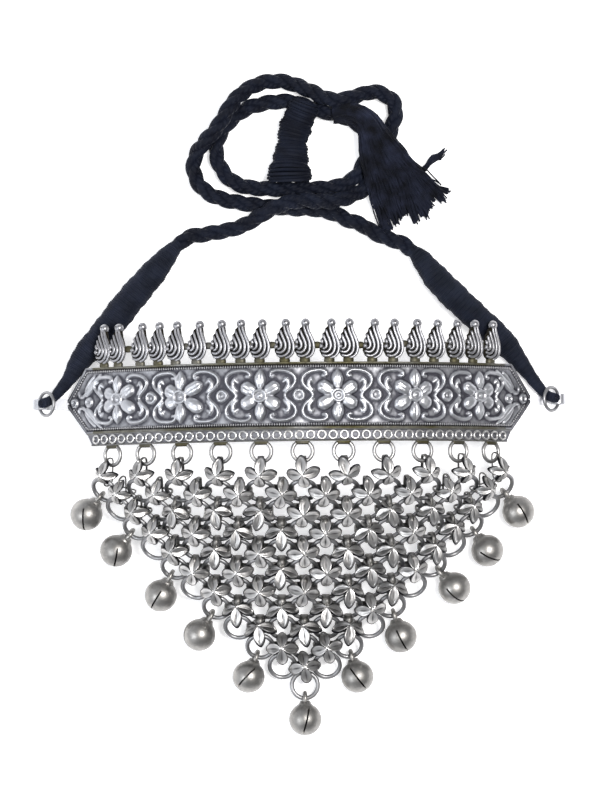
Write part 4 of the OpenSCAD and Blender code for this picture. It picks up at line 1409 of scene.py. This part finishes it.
# %% Set the comb
finial_at = [
    -51, -46.6, -40.1, -35.1, -30.4, -25, -18.9, -14.1, -9.5, -3.5,
    1.3, 7.1, 11.7, 17.5, 22.7, 28.3, 33.3, 39, 44.3, 49.7,
]
LEAF_W, FOOT_Y = 4.5, HALF_H + 0.5
SOLDERED_GAP, LEAN = 2.2, 0.05
turns = [LEAN * wobble for wobble in rng.uniform(-1, 1, len(finial_at))]
finial_places = [plate_place(s, FOOT_Y, 0, turn) for s, turn in zip(finial_at, turns)]
finials = copy_shape("finials", finial, finial_places, crest_silver)
seat(finials, "silver", "collar")

blob_places = []
for s, after in zip(finial_at, finial_at[1:]):
    gap = after - s - LEAF_W
    if gap < SOLDERED_GAP:
        blob_places.append(stretched(
            plate_place((s + after) / 2 + 0.2, FOOT_Y + 3.3 + 0.5 * math.sin(7 * s), -0.4),
            gap / 2 + 0.6, 0.85, 0.42,
        ))
blobs = copy_shape("solder_between", moved_ball(0, 0, 0, 1, 0.45, 1.0), blob_places, crest_silver)
seat(blobs, "silver", "collar")

# %% [markdown]
# ## Loops under the strip
#
# Eleven wire loops hang from tabs under the strip, and carry the net. A wire loop is a torus,
# which the earlier ring function makes. The tabs are filed blocks, yellow with solder.

# %% Loops and tabs
TAB_SIZE = (3.3, 1.4, 1.08)
NET_X = 0.7
HANGER_Y = STRIP_LOW - 2.35
HANGER_STEP = PLATE_R * math.radians(3.9)
LOOP_R, LOOP_WIRE = 2.4, 0.95
FIRST_ROW = 11


def bevelled_box(name, x, y, z, bevel):
    shape = bmesh.new()
    bmesh.ops.create_cube(shape, size=1)
    bmesh.ops.scale(shape, vec=Vector((x, y, z)) * MM, verts=shape.verts)
    bmesh.ops.bevel(
        shape, geom=shape.edges[:], offset=bevel * MM, segments=3, profile=0.6, affect="EDGES"
    )
    mesh = bpy.data.meshes.new(name)
    shape.to_mesh(mesh)
    shape.free()
    made = bpy.data.objects.new(name, mesh)
    bpy.context.scene.collection.objects.link(made)
    return made


hanger_at = [k * HANGER_STEP + NET_X for k in range(1 - FIRST_ROW, FIRST_ROW, 2)]
loop = marked(wire_ring("loop", LOOP_R, LOOP_WIRE), 0.32)
loop_places = [plate_place(s, HANGER_Y, -WALL / 2) for s in hanger_at]
seat(copy_shape("hanger_loops", loop, loop_places, link_silver), "silver", "collar")
tab = marked(bevelled_box("tab", *TAB_SIZE, 0.4), 0.5, 1.0)
tab_places = [plate_place(s, STRIP_LOW - 0.08, -WALL / 2) for s in hanger_at]
seat(copy_shape("hanger_tabs", tab, tab_places, crest_silver), "silver", "collar")

# %% [markdown]
# ## The end straps
#
# At each tip a strap leaves the plate and is rolled into an eye for the end ring. The strap is a
# slab, and the eye is lathed: a profile turned once round the hole.

# %% End straps
STRAP_END = TIP_X + 6.6
EYE_R, EYE_BORE, STRAP_W = 1.6, 0.75, 2.6
tip_y = COLLAR_Y + TIP_RISE


def lathe(name, profile, around=32):
    """Turns a closed (radius, y) profile in millimetres round the y axis."""
    n, points, faces = len(profile), [], []
    for i in range(around):
        q = 2 * math.pi * i / around
        points += [(r * math.cos(q) * MM, y * MM, r * math.sin(q) * MM) for r, y in profile]
        for j in range(n):
            k, m = (j + 1) % n, (i + 1) % around
            faces.append((i * n + j, i * n + k, m * n + k, m * n + j))
    return outward(new_object(name, points, faces=faces))


def end_strap(name, side):
    outline = [
        (TIP_X - 1.6, -1.6), (TIP_X + 0.6, -1.5), (STRAP_END, 0.1 - STRAP_W / 2),
        (STRAP_END, STRAP_W / 2 - 0.1), (TIP_X + 0.6, 1.5), (TIP_X - 1.6, 1.6),
    ]
    strap = slab("strap", [(side * x, tip_y + y) for x, y in outline], 0.15, 1.2)
    half = STRAP_W / 2
    profile = [
        (EYE_BORE, -half + 0.1), (EYE_BORE + 0.1, -half), (EYE_R - 0.2, -half), (EYE_R, -half + 0.2),
        (EYE_R, half - 0.2), (EYE_R - 0.2, half), (EYE_BORE + 0.1, half), (EYE_BORE, half - 0.1),
    ]
    eye = lathe("eye", profile)
    eye.data.transform(Matrix.Translation(Vector((side * STRAP_END, tip_y, EYE_R)) * MM))
    made = joined(name, [marked(strap, 0.15), marked(eye, 0.15)])
    made.data.materials.append(plate_silver)
    return seat(made, "silver", "collar")


end_strap("end_strap_left", -1)
end_strap("end_strap_right", 1)

# %% [markdown]
# ## The net's places
#
# The net starts under the collar's arch, comes down a slope and spreads out flat on the table.
# Place (u, v) of the net is half a step u across and v rows down: flowers sit where u + v is even,
# and under each of them a ring joins it to its neighbours. The functions are the ones that place
# the CAD links, so the dressed flowers and the CAD rings meet.

# %% The net's places
ROW_PITCH, SPREAD_ROWS, HALF_STEP = 4.6, 7, 5.42
NET_SLOPE, NET_REST, NET_BEND = 0.58, 1.95, 6
RING_R, RING_TILT = 3.1, math.radians(17)
arch_mid = PLATE_R - WALL / 2


def row_ends(v):
    return FIRST_ROW - v


def net_place(u, v):
    """The place (u, v) in millimetres."""
    w = 1 - math.exp(-v / SPREAD_ROWS)
    x = NET_X + (1 - w) * arch_mid * math.sin(u * HANGER_STEP / PLATE_R) + w * HALF_STEP * u
    lift = 0.02 * u * u * (1 - math.exp(-max(v, 0) / 3))
    drop = ROW_PITCH * v - (0 if v > FIRST_ROW else 0.1) - lift
    high = math.sqrt(arch_mid**2 - x**2) - ARCH_DROP - NET_REST
    unit, d = NET_SLOPE * NET_BEND, max(drop, 0)
    t = (high - NET_SLOPE * d * d / (d + 4)) / unit
    z = NET_REST + unit * (t if t > 12 else math.log(1 + math.exp(t)))
    return Vector((x, COLLAR_Y + HANGER_Y - drop, z))


def net_axes(u, v):
    across = (net_place(u + 1, v) - net_place(u - 1, v)).normalized()
    up = (net_place(u, v - 0.9) - net_place(u, v + 0.9)).normalized()
    face = across.cross(up).normalized()
    x = (across + up.cross(face)).normalized()
    return x, face.cross(x), face


def net_matrix(u, v):
    turn = Matrix(net_axes(u, v)).transposed().to_4x4()
    return Matrix.Translation(net_place(u, v) * MM) @ turn


print("the net's lowest place in mm:", [round(x, 1) for x in net_place(0, FIRST_ROW)])

# %% [markdown]
# ## Reach, size and chance
#
# A flower's arm reaches over the wire of the ring beside it, so its length follows from the two
# places. The caps are smaller where the net is squeezed. chance() gives each place a number from
# 0 to 1 that stays the same on every run, however many others are asked for.

# %% Reach, size and chance
def slot_out(u, v, du, dv):
    """How far out a flower's strap reaches to hold the ring beside it, in millimetres."""
    x, y, _ = net_axes(u, v)
    if v + dv == 0:
        there, r = Vector(on_plate(u * HANGER_STEP + NET_X, HANGER_Y, -WALL / 2)) / MM, LOOP_R
    else:
        there, r = net_place(u + du, v + dv), RING_R * (1 if dv == 0 else math.cos(RING_TILT))
    way = there - net_place(u, v)
    along, aside = (way.dot(x), way.dot(y)) if dv == 0 else (way.dot(y), way.dot(x))
    aside = abs(aside) + 0.9
    return abs(along) - math.sqrt(r * r - aside * aside) + (0.93 if v + dv == 0 else 0.81)


def cap_size(u, v):
    """Where the net is squeezed its flowers are smaller."""
    near = [
        (net_place(u + du, v + dv) - net_place(u, v)).length
        for du in (-1, 1) for dv in (-1, 1) if v + dv > 0 and abs(u + du) <= row_ends(v + dv)
    ]
    return min(1, 0.139 * min(near))


def chance(k, seed):
    value = math.sin(math.radians(k * 73.1 + seed * 41.7)) * 917.3
    return value - math.floor(value)


net_flowers = [
    (u, v) for v in range(1, FIRST_ROW + 1) for u in range(-row_ends(v), row_ends(v) + 1, 2)
]
print("flowers in the net:", len(net_flowers))

# %% [markdown]
# ## The petal's surface
#
# A flower link has a cast cap with four spoon-shaped petals, each with a bright rim, a groove
# down its middle and a drooping tip. A petal follows a rule, so it is a height over a small grid:
# a goes out along the petal, t across it from edge to edge, and a table gives its half width.

# %% The petal's surface
PETAL_ROWS = [0, 0.35, 0.7, 1.0, 1.35, 1.75, 2.15, 2.55, 2.95, 3.3, 3.6, 3.8, 3.9]
PETAL_COLUMNS = [-1, -0.82, -0.6, -0.3, -0.12, 0, 0.12, 0.3, 0.6, 0.82, 1]
petal_out = [0, 1.0, 1.4, 2.0, 2.6, 3.1, 3.55, 3.82, 3.9]
petal_wide = [0, 0.85, 1.12, 1.36, 1.37, 1.18, 0.78, 0.35, 0.03]
CAP_TOP, CAP_DROP, TIP_DROOP, PETAL_TIP, RIM_IN = 3.5, 1.3, 1.1, 3.9, 0.97
RIM_H, HOLLOW_H, CREASE_H = 0.24, 0.34, 0.16
HOLLOW_OXIDE_AND_SHADE, CREASE_OXIDE_AND_SHADE, EDGE_OXIDE_AND_SHADE = 0.3, 0.5, 0.6


def cap_surface(a, t):
    """Height, and darkness for oxide and painted shade, of a petal at a out from the middle and t across,
    from -1 to 1.
    """
    b = t * np.interp(a, petal_out, petal_wide)
    r = math.hypot(a, b)
    hollow = math.sin(math.pi * min(max((a - 0.35) / 3.5, 0), 1))
    rim = math.exp(-(((abs(t) - 0.86) / 0.14) ** 2))
    crease = math.exp(-((t / 0.12) ** 2)) * hollow
    z = CAP_TOP - CAP_DROP * (r / PETAL_TIP) ** 2 - TIP_DROOP * (a / PETAL_TIP) ** 4
    z += RIM_H * rim * (1 - 0.4 * a / PETAL_TIP) - HOLLOW_H * hollow * (1 - t * t) - CREASE_H * crease
    # The hollow, the crease and the edge of a petal are darkened for oxide and as painted shade.
    deep = HOLLOW_OXIDE_AND_SHADE * hollow * (1 - t * t) + CREASE_OXIDE_AND_SHADE * crease + (EDGE_OXIDE_AND_SHADE if abs(t) == 1 else 0)
    return b, z, min(1, deep)


print("height and recess at a petal's tip:", [round(x, 2) for x in cap_surface(PETAL_TIP, 0)[1:]])

# %% [markdown]
# ## Four petals
#
# The top of a cap is one petal turned four times. Its first rows lie inside the neighbours, so
# the cap's outline only follows the rows further out, down one side of a petal, round its tip and
# back up the other side.

# %% Four petals
INNER_ROWS = 3


def cap_top():
    """Points, oxide-and-shade values and faces of the four petals, and the points of their outline."""
    points, recess, faces, rim = [], [], [], []
    rows, columns = len(PETAL_ROWS), len(PETAL_COLUMNS)
    for q in range(4):
        turn = Matrix.Rotation(q * math.pi / 2, 3, "Z")
        for a in PETAL_ROWS:
            for t in PETAL_COLUMNS:
                b, z, deep = cap_surface(a, t)
                points.append(turn @ Vector((a * RIM_IN, b * RIM_IN, z)))
                recess.append(deep)
        first, last = q * rows * columns, (q + 1) * rows * columns - columns
        faces += [
            (first + i * columns + j, first + (i + 1) * columns + j,
             first + (i + 1) * columns + j + 1, first + i * columns + j + 1)
            for i in range(rows - 1) for j in range(columns - 1)
        ]
        outer = [first + i * columns for i in range(INNER_ROWS, rows)]
        rim += outer + list(range(last + 1, last + columns - 1))
        rim += [i + columns - 1 for i in outer[::-1]]
    return points, recess, faces, rim


print("points of a cap's outline:", len(cap_top()[3]))

# %% [markdown]
# ## One flower cap
#
# A wall goes down from the outline and turns in a little, and a fan of faces closes the
# underside, where a post stands. A Solidify modifier would give the wall too, but not its slightly
# bulging section, and here the wall darkens step by step downwards, painted shade under the cap
# with its oxide, darkest on the underside.

# %% One flower cap
# Each step's last number darkens the wall downwards: painted shade under the cap, with oxide.
WALL_STEPS = ((0.1, 1.03, 0.4), (0.4, 1.07, 0.85), (0.95, 1.07, 0.9), (1.25, 0.94, 1))
UNDERSIDE_Z = 2.3


def cap_shape():
    """The cap with its post. Each wall step: sink, share of the outline's size, and darkness for oxide and
    painted shade.
    """
    points, recess, faces, rim = cap_top()
    count, above = len(rim), rim
    for sink, share, deep in WALL_STEPS:
        start = len(points)
        for i in rim:
            x, y, z = points[i]
            points.append(Vector((x * share, y * share, z - sink)))
            recess.append(deep)
        faces += [
            (above[i], start + i, start + (i + 1) % count, above[(i + 1) % count])
            for i in range(count)
        ]
        above = list(range(start, start + count))
    points.append(Vector((0, 0, UNDERSIDE_Z)))
    # The underside is darkest: painted shade under the cap.
    recess.append(1.0)
    start = len(points) - 1 - count
    faces += [(start + i, len(points) - 1, start + (i + 1) % count) for i in range(count)]
    made = new_object("cap", [p * MM for p in points], faces=faces)
    put_values(made, recess=recess, solder=[0] * len(recess))
    # The post under the cap is darkened as painted shade as well.
    post = marked(bevelled_box("post", 1.2, 1.2, 1.6, 0.2), 0.6)
    post.data.transform(Matrix.Translation((0, 0, UNDERSIDE_Z * MM)))
    made = joined("cap_on_post", [outward(made), post])
    smooth_all(made.data)
    return made


cap = cap_shape()
print("faces of one cap:", len(cap.data.polygons))

# %% [markdown]
# ## Caps in the net
#
# The links are loose, so no two caps lie alike. Those under the collar lie nearly level, and many
# further down tip forwards, face down the slope and show their lowest petal. Each cap draws its
# own lean, sway and twist from its place in the net. Where the net is squeezed the caps are
# smaller, and move less.

# %% Caps in the net
PIVOT_Z = 1.9
TIPPED_SHARE, TIPPED_BY, TIPPED_MOST, LEVEL_MOST = 0.45, 36, 54, 12


def cap_matrix(u, v):
    """Where a flower's cap stands: it leans to and fro and turns by its own chance, in degrees."""
    k = (FIRST_ROW + u) / 2 + v * 13
    size = cap_size(u, v)
    face = net_axes(u, v)[2]
    slope = math.degrees(math.atan2(-face.y, face.z))
    if v == 1:
        lean = 12 * (chance(k, 4) - 0.5) - 2
    elif v > 2 and chance(k, 5) < TIPPED_SHARE:
        lean = min(slope + TIPPED_BY + 12 * chance(k, 4), TIPPED_MOST)
    else:
        lean = min(slope, LEVEL_MOST) + 10 * (chance(k, 4) - 0.5)
    sway = 14 * (chance(k, 6) - 0.5)
    twist = 30 * (chance(k, 3) - 0.5)
    pivot = Matrix.Translation((0, 0, PIVOT_Z * MM))
    turn = Euler([math.radians(angle * size) for angle in (-lean, sway, twist)]).to_matrix().to_4x4()
    return net_matrix(u, v) @ pivot @ turn @ pivot.inverted() @ Matrix.Diagonal((size, size, 1, 1))


cap_places = [cap_matrix(u, v) for u, v in net_flowers]
seat(copy_shape("flower_caps", cap, cap_places, link_silver), "silver", "flower_links")

# %% [markdown]
# ## The strips under the caps
#
# Under each cap, strips of silver are bent round the wire of the rings beside it, and are what
# holds the net together. One strip loop is made once, and stretched to the reach that each side
# of each flower needs, which is the reach of the CAD link's own arm.

# %% The strips under the caps
STRIP_REACH, STRIP_HALF_H, STRIP_THICK = 2.8, 1.72, 0.26


def strip_shape():
    """A strip bent round a ring's wire, lying along x from the flower's middle."""
    bend = [(STRIP_REACH - 0.95 * (1 - math.cos(q)) - 0.15, STRIP_HALF_H * math.sin(q))
            for q in np.linspace(math.pi / 2, -math.pi / 2, 11)]
    line = [(0, STRIP_HALF_H), *bend, (0, -STRIP_HALF_H)]
    outer, inner = [], []
    for i, (x, z) in enumerate(line):
        before, after = line[max(i - 1, 0)], line[min(i + 1, len(line) - 1)]
        way = Vector((after[0] - before[0], after[1] - before[1])).normalized()
        outer.append((x - way.y * STRIP_THICK / 2, z + way.x * STRIP_THICK / 2))
        inner.append((x + way.y * STRIP_THICK / 2, z - way.x * STRIP_THICK / 2))
    outline = outer + inner[::-1]
    made = slab("strip_loop", outline, -0.9, 0.9)
    made.data.transform(Matrix.Rotation(math.pi / 2, 4, "X"))
    # The strips are darkened as painted shade under the cap, and made a little brassy with solder.
    return marked(made, 0.52, 0.25)


strip_places = []
for u, v in net_flowers:
    sides = [(0, -1, 1), (0, 1, 3)] + ([(1, 0, 0), (-1, 0, 2)] if v > 1 else [])
    for du, dv, quarter in sides:
        stretch = (slot_out(u, v, du, dv) + 0.2) / STRIP_REACH
        place = net_matrix(u, v) @ Matrix.Rotation(quarter * math.pi / 2, 4, "Z")
        strip_places.append(stretched(place, stretch, cap_size(u, v) ** 7, 1))
straps = copy_shape("link_strips", strip_shape(), strip_places, link_silver)
seat(straps, "silver", "flower_links")

# %% [markdown]
# ## Rings and bells
#
# The rings and the bells are plain turned shapes, and the CAD solids already have them right, down
# to the slit in each bell. They keep their own mesh and only get better metal. The rings' silver is
# kept darker than the caps', as painted shade, because most of them lie under the caps.

# %% Metal for the CAD solids
# The rings get the darker silver, painted shade under the caps; the end rings share it.
METALS = {"link": ring_silver, "end_": ring_silver, "bell": bell_silver}
for name, node in frame["nodes"].items():
    metal = METALS.get(name[:4])
    if metal:
        for place in node.material_slots:
            place.material = metal
print("CAD solids shown as they are:", [n for n in frame["nodes"] if n[:4] in METALS])

# %% [markdown]
# ## The table
#
# The choker lies on a white table. It glows a little by itself, as a lit sheet of paper does in a
# light tent, so the shadows on it stay pale and the metal's underside isn't black.

# %% The table
def white_table():
    corners = [(-2, -2, 0), (2, -2, 0), (2, 2, 0), (-2, 2, 0)]
    table = new_object("table", corners, faces=[(0, 1, 2, 3)])
    material, tree, shader, add = shader_tree("white_table")
    shader.inputs["Base Color"].default_value = (0.92, 0.92, 0.93, 1)
    shader.inputs["Roughness"].default_value = 0.8
    shader.inputs["Emission Color"].default_value = (1, 1, 1, 1)
    shader.inputs["Emission Strength"].default_value = 0.5
    table.data.materials.append(material)
    table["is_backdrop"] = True
    return table


print("stage:", white_table().name)

# %% [markdown]
# ## World and lamps
#
# Polished silver shows what is round it, so the world is the main light. It is dark overhead and
# bright near the horizon, most on the left and beyond the cord: then flat metal goes grey, and
# every slope shines on one side. An image of a studio would do this too, but three ranges say it.
# A lamp on the right gives short shadows to the left, and a weaker one fills them.

# %% World and lamps
WORLD_RANGES = (
    ("Z", 0.2, 0.95, 0.85, 0.16), ("X", -0.7, 0.7, 1.3, 0.4), ("Y", -0.7, 0.7, 0.7, 1.2),
)


def area_light(name, place, size, power, colour):
    light = bpy.data.lights.new(name, "AREA")
    light.shape, light.size, light.energy, light.color = "SQUARE", size, power, colour
    made = bpy.data.objects.new(name, light)
    made.location = place
    made.rotation_euler = (Vector(AIM) - Vector(place)).to_track_quat("-Z", "Y").to_euler()
    bpy.context.scene.collection.objects.link(made)


def soft_world():
    """A world whose strength is the product of one range for each axis of the view direction."""
    world = bpy.data.worlds.new("soft_world")
    world.use_nodes = True
    tree = world.node_tree
    way = tree.nodes.new("ShaderNodeTexCoord")
    parts = tree.nodes.new("ShaderNodeSeparateXYZ")
    tree.links.new(way.outputs["Generated"], parts.inputs[0])
    strength = None
    for axis, low, high, at_low, at_high in WORLD_RANGES:
        sky = tree.nodes.new("ShaderNodeMapRange")
        tree.links.new(parts.outputs[axis], sky.inputs["Value"])
        for key, value in (("From Min", low), ("From Max", high), ("To Min", at_low), ("To Max", at_high)):
            sky.inputs[key].default_value = value
        if strength:
            both = tree.nodes.new("ShaderNodeMath")
            both.operation = "MULTIPLY"
            tree.links.new(strength, both.inputs[0])
            tree.links.new(sky.outputs[0], both.inputs[1])
            strength = both.outputs[0]
        else:
            strength = sky.outputs[0]
    tree.links.new(strength, tree.nodes["Background"].inputs["Strength"])
    tree.nodes["Background"].inputs["Color"].default_value = (0.93, 0.95, 1.0, 1)
    return world


bpy.context.scene.world = soft_world()
bpy.context.scene.view_settings.view_transform = "Standard"
area_light("key_light", (0.28, 0.08, 0.95), 0.3, 10, (1, 0.98, 0.96))
area_light("fill_light", (-0.6, -0.2, 0.7), 0.5, 4, (0.94, 0.97, 1))
print("lamps:", len(bpy.data.lights), "world:", bpy.context.scene.world.name)

# %% [markdown]
# ## The size of the dressed choker
#
# The dressed choker's box is printed, in millimetres. The dressed choker has to stay
# inside the CAD model's box.

# %% Size and finish
low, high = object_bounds()
print("dressed box in mm:", [round(1000 * x, 1) for x in (*low, *high)])
